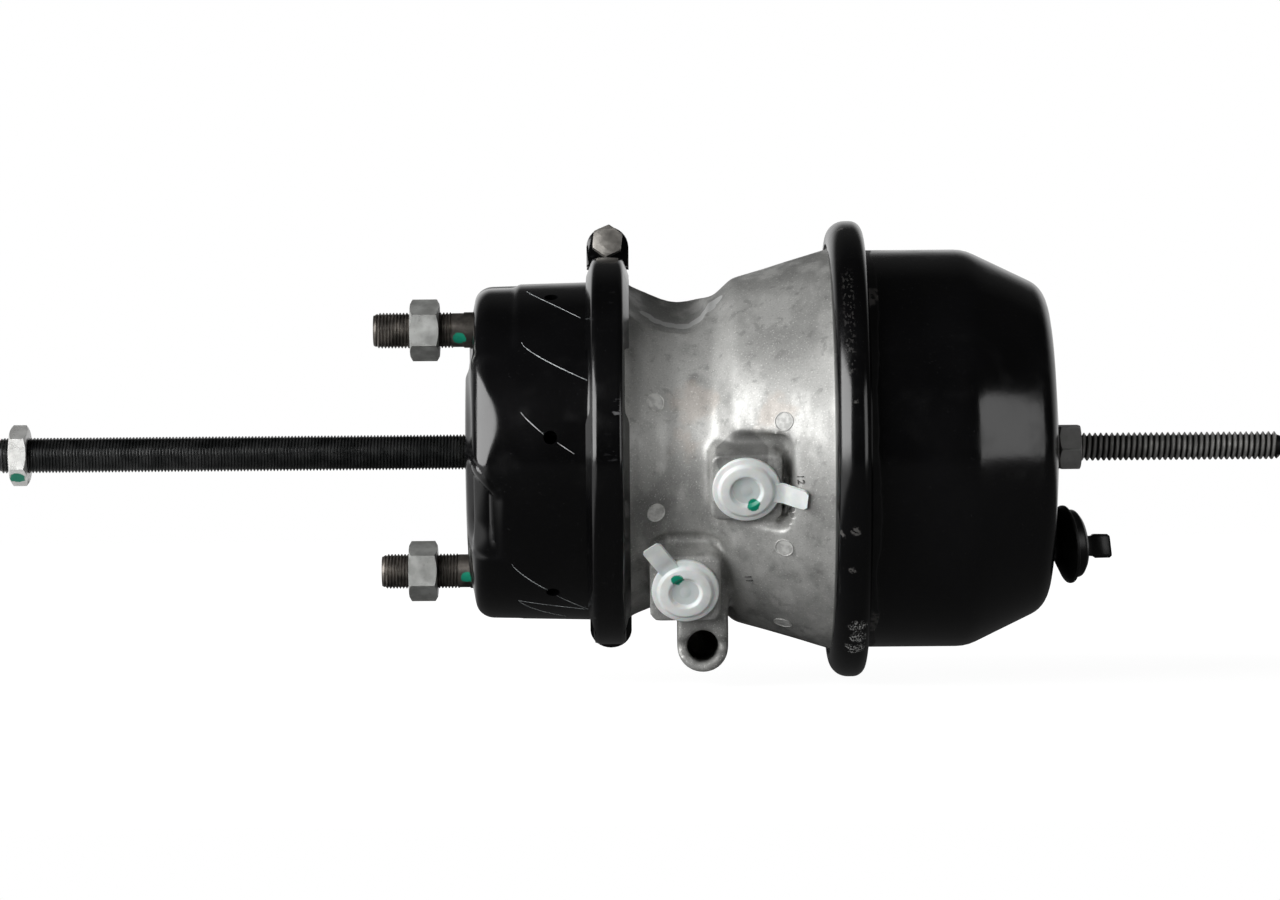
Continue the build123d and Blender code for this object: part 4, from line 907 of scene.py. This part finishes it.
def cap_plastic(name, dab_point, dish_shade_point):
    """Milky polyethylene with a dab of green marking paint and painted shade in its dished middle."""
    finish = Finish(name)
    cloud = finish.range(finish.noise(120, 4), 0.3, 0.7)
    colour = finish.mix(cloud, (0.74, 0.77, 0.76), (0.88, 0.90, 0.89))
    # Painted shade: a bluish grey disc over the cap's dished middle.
    dish_shade = finish.near(dish_shade_point, 5.9, 0.25, 420)
    colour = finish.mix(finish.times(dish_shade, 0.55), colour, (0.50, 0.56, 0.56))
    dab = finish.near(dab_point, 2.8, 0.8, 420)
    colour = finish.mix(dab, colour, Vector(colours().dab))
    finish.bump(finish.noise(260, 3), 0.05, 0.3)
    rough = finish.range(cloud, 0, 1, 0.3, 0.42)
    return finish.done(colour, rough, Subsurface_Weight=0.2, Subsurface_Scale=0.002)


# ---------------------------------------------------------------- pieces


def cup_shape(x, r, angle):
    """Presses the service housing: flats beside the studs, soft corners between them and two side pockets."""
    upper, lower = (window(away(angle, centre), -FLAT_HALF, FLAT_HALF, 6.0) for centre in STUD_ANGLES)
    flat = max(upper, lower)
    lean = smooth(r, 60, 74)
    inset = FLAT_DEPTH * flat * (1 - smooth(x, 21.5, 25)) * smooth(r, 62, 70)
    pocket = crown = ridge = 0.0
    for twin in (0, 180):
        turn = away(angle, twin)
        crown = max(crown, window(turn, -16, 34, 25))
        top = (-3.0 - 0.85 * min(x, 15.2) - turn) * 1.3
        low = (turn + 38.0) * 1.3
        right = POCKET_EDGE - x
        lead = smooth(top, -8, 0.5) * smooth(right, -5, 0.5) * smooth(low, -3, 0.5)
        drop = smooth(top, 0, 1.6) * smooth(right, 0, 1.6) * smooth(low, 0, 15)
        lip = POCKET_LIP * window(top, -5.5, 1.0, 2.6) * smooth(low, 0, 6) * (1 - smooth(x, 12, 20))
        pocket = max(pocket, (POCKET_LEAD * lead + POCKET_DEPTH * drop) * smooth(r, 60, 68))
        ridge = max(ridge, lip * smooth(r, 60, 68))
    corner = CORNER_DEPTH * crown * (1 - smooth(x, 3, 7 + 11 * crown)) * smooth(r, 58, 71)
    inset = max(inset, corner + pocket) - ridge
    face = 1.3 * smooth(r, 13, 18) + (1.8 * upper + 0.9 * lower) * smooth(r, 36, 52)
    return x + (face + inset * 0.9) * (1 - lean), r - inset * lean


def build_service_housing():
    bm = bmesh.new()
    lathe(bm, sheet_line(CUP_LINE, CUP_BENDS, CUP_WALL, 1.1, 4.0), CUP_SEGMENTS, cup_shape)
    cup = new_mesh(bm, "service_housing_cup", 30)
    bm = bmesh.new()
    for angle in DRAINS:
        where = axis_frame(Vector((DRAIN_X, 0, 0)) * MM, outward(angle))
        lathe(bm, [(66, 0), (66, 3), (82, 3), (82, 0)], 32, where=where)
    for angle in STUD_ANGLES:
        middle = outward(angle) * STUD_CIRCLE
        lathe(bm, [(-5, 0), (-5, 8.1), (12, 8.1), (12, 0)], 48, where=Matrix.Translation(middle * MM))
    cut_with(cup, new_mesh(bm, "drain_cutter"))
    placed(cup, ROOT, cup_paint(), ["service_housing"])
    build_scratches()


def build_scratches():
    """Curved score lines on the cup, as thin tapering ribbons just proud of the paint."""
    steps = 26
    bm = bmesh.new()
    for x0, a0, x1, a1, bow, width in SCORES:
        rows = []
        for index in range(steps + 1):
            part = index / steps
            x = x0 + (x1 - x0) * part
            angle = a0 + (a1 - a0) * part**bow
            half = width * math.sin(math.pi * min(max(part, 0.04), 0.96)) ** 0.5
            base = 75.45 + (x - 5.6) * 1.2 / 51.2
            run = Vector((x1 - x0, (a1 - a0) * DEGREES * base, 0)).normalized()
            row = []
            for side, height in ((-1, -0.15), (-1, 0.05), (1, 0.05), (1, -0.15)):
                px = x - run.y * half * side * 0.5
                pa = angle + run.x * half * side * 0.5 / base / DEGREES
                shaped = cup_shape(px, base + height, pa)
                row.append((Vector((shaped[0], 0, 0)) + outward(pa) * shaped[1]) * MM)
            rows.append(row)
        swept(bm, rows)
    placed(new_mesh(bm, "cup_scratches"), ROOT, scratch_metal())


def build_studs():
    pitch = sizes().fine_pitch / MM
    parts = []
    for number, angle in enumerate(STUD_ANGLES):
        middle = outward(angle) * STUD_CIRCLE
        thread = (STUD_ENDS, STUD_RADIUS, pitch, FINE_DEPTH, STUD_ENDS, stud_steel())
        parts.append(screw(f"stud_{number}", *thread, (2.5, 0), 0.48, middle.yz))
        bm = bmesh.new()
        lathe(bm, STUD_SHANK, 48, where=Matrix.Translation(middle * MM))
        parts.append(new_mesh(bm, f"stud_shank_{number}"))
    placed(merged("mounting_studs_threaded", *parts), ROOT, stud_steel(), ["mounting_studs"])
    nuts = node_copy("stud_nuts", "stud_nuts_turned", 24)
    for vertex in nuts.data.vertices:
        vertex.co.x += UPPER_NUT_SHIFT * MM if vertex.co.z > 0 else 0
    placed(nuts, ROOT, nut_steel(), ["stud_nuts"])


def build_push_rod():
    pitch = sizes().fine_pitch / MM
    thread = (ROD_ENDS, ROD_RADIUS, pitch, FINE_DEPTH, ROD_THREAD, rod_steel())
    rod = screw("push_rod_threaded", *thread, (1.8, 0))
    placed(rod, "push_rod", rod_steel(), ["push_rod"])
    nut = node_copy("jam_nut", "jam_nut_turned", 24)
    nut.data.transform(Matrix.Translation(Vector((JAM_NUT_SHIFT, 0, 0)) * MM))
    placed(nut, "push_rod", jam_steel(), ["jam_nut"])


def clamp_section(angle, cuts):
    """Closed section of the V band at an angle. cuts shorten its side flanges."""
    keep = 1.0
    for centre, half, soft, rest in cuts:
        keep = min(keep, 1 - (1 - rest) * window(away(angle, centre), -half, half, soft))
    line = list(CLAMP_LINE)
    for tip, root in ((0, 1), (3, 2)):
        line[tip] = tuple(near + (far - near) * keep for far, near in zip(line[tip], line[root]))
    outline = sheet_line(line, [3.2, 3.2], CLAMP_WALL)
    return [(Vector((CLAMP_X + x, 0, 0)) + outward(angle) * r) * MM for x, r in outline]


def build_clamp_half(name, node, start, end, cuts, ears):
    """Half of the V band, a little short of both splits, with an ear at each end."""
    gap = 0.98
    steps = 150
    run = end + 2 * gap - start
    bm = bmesh.new()
    swept(bm, [clamp_section(start - gap + run * n / steps, cuts) for n in range(steps + 1)])
    band = new_mesh(bm, name + "_band", 40)
    bm = bmesh.new()
    turns = [t * math.pi / 16 for t in range(17)]
    arc = [(EAR_RADIUS * math.cos(turn), EAR_MIDDLE + EAR_RADIUS * math.sin(turn)) for turn in turns]
    outline = [(EAR_RADIUS, EAR_FOOT), *arc, (-EAR_RADIUS, EAR_FOOT)]
    for split, side in ears:
        tangent = Vector((1, 0, 0)).cross(outward(split))
        origin = Vector((CLAMP_X, 0, 0)) - tangent * side * EAR_GAP
        if side > 0:
            origin -= tangent * EAR_THICKNESS
        slab(bm, outline, origin, Vector((1, 0, 0)), outward(split), EAR_THICKNESS, 0.9)
    lugs = new_mesh(bm, name + "_ears", 40)
    placed(merged(name, band, lugs), ROOT, clamp_paint(), [node])


def build_clamp():
    front = ((CLAMP_TOP, 1), (CLAMP_BOTTOM, -1))
    rear = ((CLAMP_TOP, -1), (CLAMP_BOTTOM, 1))
    build_clamp_half("clamp_front_band", "clamp_front", CLAMP_TOP, CLAMP_BOTTOM, FRONT_CUTS, front)
    build_clamp_half("clamp_rear_band", "clamp_rear", CLAMP_BOTTOM + 360, CLAMP_TOP, REAR_CUTS, rear)
    for node in ("clamp_bolts", "clamp_nuts"):
        placed(node_copy(node, node + "_turned", 24), ROOT, bolt_steel(), [node])


def relax_cast_skin(casting):
    """Rounds the cast edges. Machined lips, the pads' faces and the storage tube keep theirs."""
    pad, tube = 17, 14
    zone = casting.vertex_groups.new(name="cast_skin")
    out, up = port_frame(SPRING_PORT)[1:]
    for vertex in casting.data.vertices:
        point = vertex.co / MM
        reach = math.hypot(point.y, point.z)
        soft = smooth(reach, 61, 64) * smooth(point.x, 73, 78) * (1 - smooth(point.x, 160, 164))
        for place, offset, face in (SERVICE_PORT, SPRING_PORT):
            beside = max(abs(point.x - place), abs(up.dot(point) - offset))
            if beside < pad and out.dot(point) > face - 6:
                soft = min(soft, 0.12)
        if point.z < -76 and abs(point.x - TUBE_PLACE[0]) < tube:
            soft = min(soft, 0.25)
        zone.add([vertex.index], max(soft, 0.06), "REPLACE")
    relax = casting.modifiers.new("relax", "SMOOTH")
    relax.factor = 0.6
    relax.iterations = 14
    relax.vertex_group = zone.name
    with_modifiers(casting)


def cut_scoops(casting):
    """Cuts a flat scoop with a small ledge into both shoulders and gives the cast skin a slight wave."""
    middle, flat, step = 98, 63.0, 0.9
    for vertex in casting.data.vertices:
        x, y, z = vertex.co / MM
        reach = math.hypot(y, z)
        side = 6.0 if x < middle else 20.0
        level = flat + side * ((x - middle) / 20) ** 2
        cut = max(outward(angle).dot((0, y, z)) for angle in SCOOP_ANGLES) - level
        scoop = max(cut, 0) + step * smooth(cut, 0, 0.5) if reach < 78 else 0.0
        wave = 0.25 * field.noise(vertex.co * 55)
        scale = 1 - (scoop - wave) * smooth(reach, 62, 65) / max(reach, 1)
        vertex.co = Vector((x, y * scale, z * scale)) * MM


def fill_beside_port(casting):
    """Lifts the deep end of the pocket beside the spring port."""
    rim, deepest = 78, 22
    out, up = port_frame(SPRING_PORT)[1:]
    for vertex in casting.data.vertices:
        beside = window(vertex.co.x / MM, 131, 153, 7) * window(up.dot(vertex.co) / MM, -5, 21, 8)
        depth = rim - out.dot(vertex.co) / MM
        beside *= smooth(vertex.normal.dot(out), -0.1, 0.5) * smooth(depth, 0, 4)
        if beside > 0 and depth < deepest:
            vertex.co += out * (depth * beside * 0.7 * MM)


def build_flange():
    """The casting: its CAD form with cast edges, scooped shoulders, ejector marks and port numbers."""
    casting = node_copy("intermediate_flange", "intermediate_flange_cast")
    remesh = casting.modifiers.new("grain", "REMESH")
    remesh.mode = "VOXEL"
    remesh.voxel_size = sizes().casting_grain
    remesh.adaptivity = 0
    with_modifiers(casting)
    relax_cast_skin(casting)
    cut_scoops(casting)
    fill_beside_port(casting)
    casting.vertex_groups.clear()
    thinned = casting.modifiers.new("thinned", "DECIMATE")
    thinned.ratio = 0.64
    with_modifiers(casting)
    casting.data.shade_smooth()
    placed(casting, ROOT, cast_aluminium(), ["intermediate_flange"])
    build_ejector_marks(casting)
    build_port_numbers(casting)
    build_tube_end()


def build_tube_end():
    """Cast skin that closes the far end of the storage tube, outside the bore."""
    bm = bmesh.new()
    line = rounded([(46.0, 0), (46.0, 9.6), (47.2, 9.6), (47.2, 0)], [0.1, 0.8])
    x, z = TUBE_PLACE
    lathe(bm, line, 64, where=axis_frame(Vector((x, 0, z)) * MM, Vector((0, 1, 0))))
    placed(new_mesh(bm, "storage_tube_end"), ROOT, cast_aluminium())


def skin_point(casting, x, angle):
    """Point and normal on the casting's outside at a place along and round the chamber."""
    start = (Vector((x, 0, 0)) + outward(angle) * 140) * MM
    hit, point, normal, _ = casting.ray_cast(start, -outward(angle))
    if not hit:
        raise ValueError(f"no casting under {x}, {angle}")
    return point, normal


def build_ejector_marks(casting):
    """Round marks left by the die's ejector pins: a low disc with a raised ring."""
    places = [skin_point(casting, x, angle) for x, angle in EJECTOR_MARKS]
    points = bpy.data.meshes.new("ejector_points")
    points.from_pydata([point for point, _ in places], [], [])
    facing = points.attributes.new("direction", "FLOAT_VECTOR", "POINT")
    facing.data.foreach_set("vector", [value for _, normal in places for value in normal])
    bm = bmesh.new()
    lathe(bm, [(-1.0, 0), (-1.0, 4.4), (0.22, 4.3), (0.30, 4.05), (0.22, 3.8), (0.02, 3.7), (0.06, 0)], 40)
    shape = new_mesh(bm, "ejector_shape")
    values = {"Size": 1.0, "Shape": shape, "Material": ejector_metal()}
    made = made_by_tree("ejector_marks", copies_tree(), values, points)
    bpy.data.objects.remove(shape)
    placed(made, ROOT, ejector_metal())


def build_port_numbers(casting):
    """Raised port numbers, 11 and 12, reading down the chamber."""
    for text, x, angle in PORT_NUMBERS:
        curve = bpy.data.curves.new("port_number_" + text, "FONT")
        curve.body = text
        curve.size = NUMBER_SIZE * MM
        curve.extrude = NUMBER_HEIGHT * MM
        curve.align_x = "CENTER"
        curve.align_y = "CENTER"
        flat = bpy.data.objects.new("port_number_curve", curve)
        bpy.context.scene.collection.objects.link(flat)
        graph = bpy.context.evaluated_depsgraph_get()
        mesh = bpy.data.meshes.new_from_object(flat.evaluated_get(graph))
        bpy.data.objects.remove(flat)
        point, normal = skin_point(casting, x, angle)
        across = Vector((0, 0, -1)) - normal * normal.dot((0, 0, -1))
        across.normalize()
        up = normal.cross(across)
        turn = Matrix((across, up, normal)).transposed().to_4x4()
        mesh.transform(Matrix.Translation(point + normal * 0.0001) @ turn)
        made = bpy.data.objects.new("port_number_" + text, mesh)
        bpy.context.scene.collection.objects.link(made)
        placed(made, ROOT, number_metal())


def port_frame(port):
    """Origin of a port, its outward axis and the direction up its face."""
    x, offset, face = port
    out = outward(PORT_TURN)
    up = Vector((0, math.sin(PORT_TURN * DEGREES), math.cos(PORT_TURN * DEGREES)))
    return Vector((x, 0, 0)) + out * face + up * offset, out, up


def build_cap(number, port, tab_turn, tab_reach, tab_rise, dab):
    """A milky shipping cap: stepped disc, dished middle, hollow stem and a tear tab."""
    name = f"port_cap_{number}"
    tab_start, steps = 11.0, 12
    origin, out, up = port_frame(port)
    bm = bmesh.new()
    lathe(bm, rounded(CAP_LINE, CAP_BENDS, 15), 96, where=axis_frame(origin * MM, out))
    along = Vector((1, 0, 0)) * math.cos(tab_turn * DEGREES) + up * math.sin(tab_turn * DEGREES)
    side = out.cross(along)
    sections = []
    rise = math.tan(tab_rise * DEGREES)
    length = tab_reach - tab_start
    for index in range(steps + 1):
        reach = tab_start + length * index / steps
        height = 1.9 + max(reach - 15.2, 0) * rise * smooth(reach, 14.5, 19.0)
        if tab_rise < 20:
            height += 1.1 * smooth(reach, 12.0, 18.0)
        half = 4.7 * (1 - smooth(reach, tab_reach - 1.6, tab_reach) * 0.28)
        centre = origin + along * reach + out * height
        corners = [(-half, -0.55), (-half + 0.4, 0.65), (half - 0.4, 0.65), (half, -0.55)]
        sections.append([(centre + side * a + out * b) * MM for a, b in corners])
    swept(bm, sections)
    made = new_mesh(bm, name + "_moulded", 40)
    dab_point = origin + out * 4.0 + Vector((1, 0, 0)) * dab[0] + up * dab[1]
    plastic = cap_plastic(f"cap_plastic_{number}", dab_point, origin + out * 2.8)
    placed(made, name, plastic, [name])


def build_port_caps():
    build_cap(11, SERVICE_PORT, 124.0, 27.6, 8.0, (-3.4, 6.4))
    build_cap(12, SPRING_PORT, -6.0, 26.6, 28.0, (3.2, -6.2))


def build_spring_section():
    bm = bmesh.new()
    lathe(bm, sheet_line(HOUSING_LINE, HOUSING_BENDS, HOUSING_WALL, 6.0))
    housing = new_mesh(bm, "spring_housing_shell", 35)
    bm = bmesh.new()
    y, z, radius = VENT
    where = Matrix.Translation(Vector((0, y, z)) * MM)
    lathe(bm, [(250, 0), (250, radius), (275, radius), (275, 0)], 64, where=where)
    cut_with(housing, new_mesh(bm, "vent_cutter"))
    placed(housing, ROOT, housing_paint(), ["spring_housing"])
    bm = bmesh.new()
    lathe(bm, sheet_line(RING_LINE, RING_BENDS, RING_WALL))
    placed(new_mesh(bm, "crimp_ring_rolled", 40), ROOT, ring_paint(), ["crimp_ring"])


def build_release_bolt():
    pitch = sizes().coarse_pitch / MM
    thread = (BOLT_ENDS, BOLT_RADIUS, pitch, COARSE_DEPTH, BOLT_THREAD, release_steel())
    bolt = screw("release_screw", *thread, (0, 2.0))
    bm = bmesh.new()
    place = Vector((BOLT_HEAD_X, 0, 0))
    slab(bm, BOLT_HEAD, place, Vector((0, 1, 0)), Vector((0, 0, 1)), BOLT_HEAD_THICKNESS, 0.8)
    head = new_mesh(bm, "release_head")
    whole = merged("release_bolt_threaded", bolt, head)
    placed(whole, "release_bolt", release_steel(), ["release_bolt"])
    nut = node_copy("release_nut", "release_nut_turned", 24)
    placed(nut, "release_nut", release_nut_steel(), ["release_nut"])


def build_dust_plug():
    """Rubber plug hanging half out of the vent: stem, bell flange, collar and pull tab."""
    axis = Vector(PLUG_AXIS)
    origin = Vector(PLUG_ORIGIN)
    bm = bmesh.new()
    lathe(bm, rounded(PLUG_LINE, PLUG_BENDS, 10), 96, where=axis_frame(origin * MM, axis))
    across = Vector((0, 1, 0)).cross(axis).normalized()
    side = axis.cross(across)
    square = []
    for corner in range(4):
        for step in (-25, 0, 25):
            turn = math.radians(45 + 90 * corner + step)
            a, b = math.cos(turn), math.sin(turn)
            square.append((math.copysign(abs(a) ** 0.35, a), math.copysign(abs(b) ** 0.35, b)))
    sections = []
    for reach, half, deep in PLUG_TAB:
        centre = origin + axis * reach - Vector((0, 0, 0.11 * reach))
        sections.append([(centre + across * half * a + side * deep * b) * MM for a, b in square])
    swept(bm, sections)
    placed(new_mesh(bm, "dust_plug_moulded", 40), "dust_plug", plug_rubber(), ["dust_plug"])


def finish_inner_pieces():
    """Materials of the CAD nodes that stay as they are."""
    finishes = {
        "push_plate": pressed_steel,
        "push_rod_guide": bush_plastic,
        "service_diaphragm": diaphragm_rubber,
        "adapter_push_rod": pressed_steel,
        "web_bush": bush_plastic,
        "o_rings": diaphragm_rubber,
        "bush_circlip": spring_steel,
        "adapter_plate": pressed_steel,
        "spring_diaphragm": diaphragm_rubber,
        "pressure_plate": pressed_steel,
        "spring_guide": pressed_steel,
        "power_spring": spring_steel,
        "adapter_return_spring": spring_steel,
        "return_spring": spring_steel,
    }
    for node, finish in finishes.items():
        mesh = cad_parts[node].data
        mesh.materials.clear()
        mesh.materials.append(finish())


# ---------------------------------------------------------------- studio


def lamp(name, azimuth, elevation, distance, width, height, power, target):
    """A soft rectangular lamp that faces the chamber. Azimuth 0 is the camera's side, 90 the right."""
    data = bpy.data.lights.new(name, "AREA")
    data.shape = "RECTANGLE"
    data.size, data.size_y = width, height
    data.energy = power
    made = bpy.data.objects.new(name, data)
    turn, rise = azimuth * DEGREES, elevation * DEGREES
    flat = math.cos(rise)
    arm = Vector((math.sin(turn) * flat, -math.cos(turn) * flat, math.sin(rise)))
    made.location = target + arm * distance
    made.rotation_euler = (-arm).to_track_quat("-Z", "Y").to_euler()
    bpy.context.scene.collection.objects.link(made)


def build_floor():
    """A pale floor that keeps a faint shadow and looks white to the camera beside it."""
    bm = bmesh.new()
    bm.faces.new([bm.verts.new((x, y, FLOOR_LEVEL)) for x, y in FLOOR_CORNERS])
    floor = new_mesh(bm, "floor")
    finish = Finish("floor_paper")
    grain = finish.range(finish.noise(8, 3), 0.2, 0.8)
    colour = finish.mix(grain, Vector(colours().floor) * 0.97, Vector(colours().floor))
    material = finish.done(colour, 0.9, Specular_IOR_Level=0.0)
    flat = finish.node("ShaderNodeVectorMath", {0: finish.place, 1: (-0.08, 0, -FLOOR_LEVEL)}, operation="ADD")
    spread = finish.node("ShaderNodeVectorMath", {0: flat.outputs[0], 1: (0.6, 1, 1)}, operation="MULTIPLY")
    far = finish.node("ShaderNodeVectorMath", {0: spread.outputs[0]}, operation="LENGTH").outputs["Value"]
    path = finish.node("ShaderNodeLightPath").outputs
    share = 0.6
    seen = finish.times(finish.larger(path["Is Camera Ray"], path["Is Transmission Ray"]), share)
    behind = finish.range(finish.along(1), 0.4, 1.6, 0.05, 0.8)
    beside = finish.range(finish.along(), -0.02, -0.2, 0.05, 0.7)
    glossy = finish.times(path["Is Glossy Ray"], finish.larger(behind, beside))
    white = finish.times(seen, finish.range(far, 0.2, 0.6, 1.60 / share, 1.76 / share))
    level = finish.maths("ADD", white, glossy)
    glow = finish.node("ShaderNodeEmission", {"Color": (1, 1, 1, 1), "Strength": level})
    mix = finish.node("ShaderNodeMixShader", {0: finish.larger(seen, path["Is Glossy Ray"])})
    finish.tree.links.new(finish.surface.outputs[0], mix.inputs[1])
    finish.tree.links.new(glow.outputs[0], mix.inputs[2])
    finish.tree.links.new(mix.outputs[0], finish.tree.nodes["Material Output"].inputs["Surface"])
    floor.data.materials.append(material)


def build_world():
    """White to the camera; for everything else a pale band behind the chamber and dim elsewhere."""
    world = bpy.data.worlds.new("studio")
    bpy.context.scene.world = world
    world.use_nodes = True
    nodes = Nodes(world.node_tree)
    place = nodes.node("ShaderNodeTexCoord").outputs["Generated"]
    split = nodes.node("ShaderNodeSeparateXYZ", {0: place}).outputs
    path = nodes.node("ShaderNodeLightPath").outputs
    behind = nodes.range(split[1], 0.15, 0.8)
    low = nodes.range(split[2], 0.22, 0.55, 0.75, 0.05)
    band = nodes.larger(nodes.times(behind, low), 0.02)
    seen = nodes.larger(path["Is Camera Ray"], path["Is Transmission Ray"])
    background = nodes.tree.nodes["Background"]
    background.inputs["Color"].default_value = (1, 1, 1, 1)
    nodes.tree.links.new(nodes.larger(band, seen), background.inputs["Strength"])


def build_stage():
    scene = bpy.context.scene
    studio = scene.chamber_studio
    target = Vector((78.5, 0, 0.2)) * MM
    data = bpy.data.cameras.new("camera")
    data.sensor_width = 36
    data.lens = studio.lens
    data.clip_start = 0.05
    data.clip_end = 50
    camera = bpy.data.objects.new("camera", data)
    camera.location = target + Vector((0, -studio.distance, 0))
    turn = Matrix.Rotation(studio.roll, 3, "Y") @ Matrix.Rotation(math.pi / 2, 3, "X")
    camera.rotation_euler = turn.to_euler()
    scene.collection.objects.link(camera)
    scene.camera = camera
    scene.view_settings.view_transform = "Standard"
    build_floor()
    build_world()
    for values in LAMPS:
        lamp(*values, target)


# ---------------------------------------------------------------- operators and panel


class CHAMBER_OT_stage(bpy.types.Operator):
    """Adds the camera, lamps, world and floor."""

    bl_idname = "chamber.stage"
    bl_label = "Stage"

    def execute(self, context):
        build_stage()
        return {"FINISHED"}


class CHAMBER_OT_service_housing(bpy.types.Operator):
    """Builds the pressed cup with its reliefs and score lines."""

    bl_idname = "chamber.service_housing"
    bl_label = "Service housing"

    def execute(self, context):
        build_service_housing()
        return {"FINISHED"}


class CHAMBER_OT_studs(bpy.types.Operator):
    """Builds the threaded mounting studs and their nuts."""

    bl_idname = "chamber.studs"
    bl_label = "Studs"

    def execute(self, context):
        build_studs()
        return {"FINISHED"}


class CHAMBER_OT_push_rod(bpy.types.Operator):
    """Builds the threaded push rod and its jam nut."""

    bl_idname = "chamber.push_rod"
    bl_label = "Push rod"

    def execute(self, context):
        build_push_rod()
        return {"FINISHED"}


class CHAMBER_OT_clamp(bpy.types.Operator):
    """Builds both halves of the V band with ears, bolts and nut."""

    bl_idname = "chamber.clamp"
    bl_label = "Clamp"

    def execute(self, context):
        build_clamp()
        return {"FINISHED"}


class CHAMBER_OT_flange(bpy.types.Operator):
    """Builds the cast intermediate flange with its marks and numbers."""

    bl_idname = "chamber.flange"
    bl_label = "Flange"

    def execute(self, context):
        build_flange()
        return {"FINISHED"}


class CHAMBER_OT_port_caps(bpy.types.Operator):
    """Builds the two shipping caps."""

    bl_idname = "chamber.port_caps"
    bl_label = "Port caps"

    def execute(self, context):
        build_port_caps()
        return {"FINISHED"}


class CHAMBER_OT_spring_section(bpy.types.Operator):
    """Builds the spring housing and the crimp ring."""

    bl_idname = "chamber.spring_section"
    bl_label = "Spring section"

    def execute(self, context):
        build_spring_section()
        return {"FINISHED"}


class CHAMBER_OT_release_bolt(bpy.types.Operator):
    """Builds the caging bolt and its nut."""

    bl_idname = "chamber.release_bolt"
    bl_label = "Release bolt"

    def execute(self, context):
        build_release_bolt()
        return {"FINISHED"}


class CHAMBER_OT_dust_plug(bpy.types.Operator):
    """Builds the rubber plug of the vent."""

    bl_idname = "chamber.dust_plug"
    bl_label = "Dust plug"

    def execute(self, context):
        build_dust_plug()
        return {"FINISHED"}


class CHAMBER_OT_inner_pieces(bpy.types.Operator):
    """Gives the CAD nodes that stay their finishes."""

    bl_idname = "chamber.inner_pieces"
    bl_label = "Inner pieces"

    def execute(self, context):
        finish_inner_pieces()
        return {"FINISHED"}


OPERATORS = (
    CHAMBER_OT_stage,
    CHAMBER_OT_service_housing,
    CHAMBER_OT_studs,
    CHAMBER_OT_push_rod,
    CHAMBER_OT_clamp,
    CHAMBER_OT_flange,
    CHAMBER_OT_port_caps,
    CHAMBER_OT_spring_section,
    CHAMBER_OT_release_bolt,
    CHAMBER_OT_dust_plug,
    CHAMBER_OT_inner_pieces,
)


class CHAMBER_PT_panel(bpy.types.Panel):
    """Lists the sizes, colours and build steps of the chamber."""

    bl_label = "Chamber"
    bl_idname = "CHAMBER_PT_panel"
    bl_space_type = "VIEW_3D"
    bl_region_type = "UI"
    bl_category = "Chamber"

    def draw(self, context):
        groups = (context.scene.chamber_sizes, context.scene.chamber_colours, context.scene.chamber_studio)
        for group in groups:
            for name in group.__annotations__:
                self.layout.prop(group, name)
        for operator in OPERATORS:
            self.layout.operator(operator.bl_idname)


CLASSES = [ChamberSizes, ChamberColours, StudioSettings, *OPERATORS, CHAMBER_PT_panel]


def register():
    for item in CLASSES:
        bpy.utils.register_class(item)
    bpy.types.Scene.chamber_sizes = bpy.props.PointerProperty(type=ChamberSizes)
    bpy.types.Scene.chamber_colours = bpy.props.PointerProperty(type=ChamberColours)
    bpy.types.Scene.chamber_studio = bpy.props.PointerProperty(type=StudioSettings)


def unregister():
    del bpy.types.Scene.chamber_sizes
    del bpy.types.Scene.chamber_colours
    del bpy.types.Scene.chamber_studio
    for item in reversed(CLASSES):
        bpy.utils.unregister_class(item)


def main():
    register()
    for operator in OPERATORS:
        getattr(bpy.ops.chamber, operator.bl_idname.split(".")[1])()


if __name__ == "__main__":
    main()
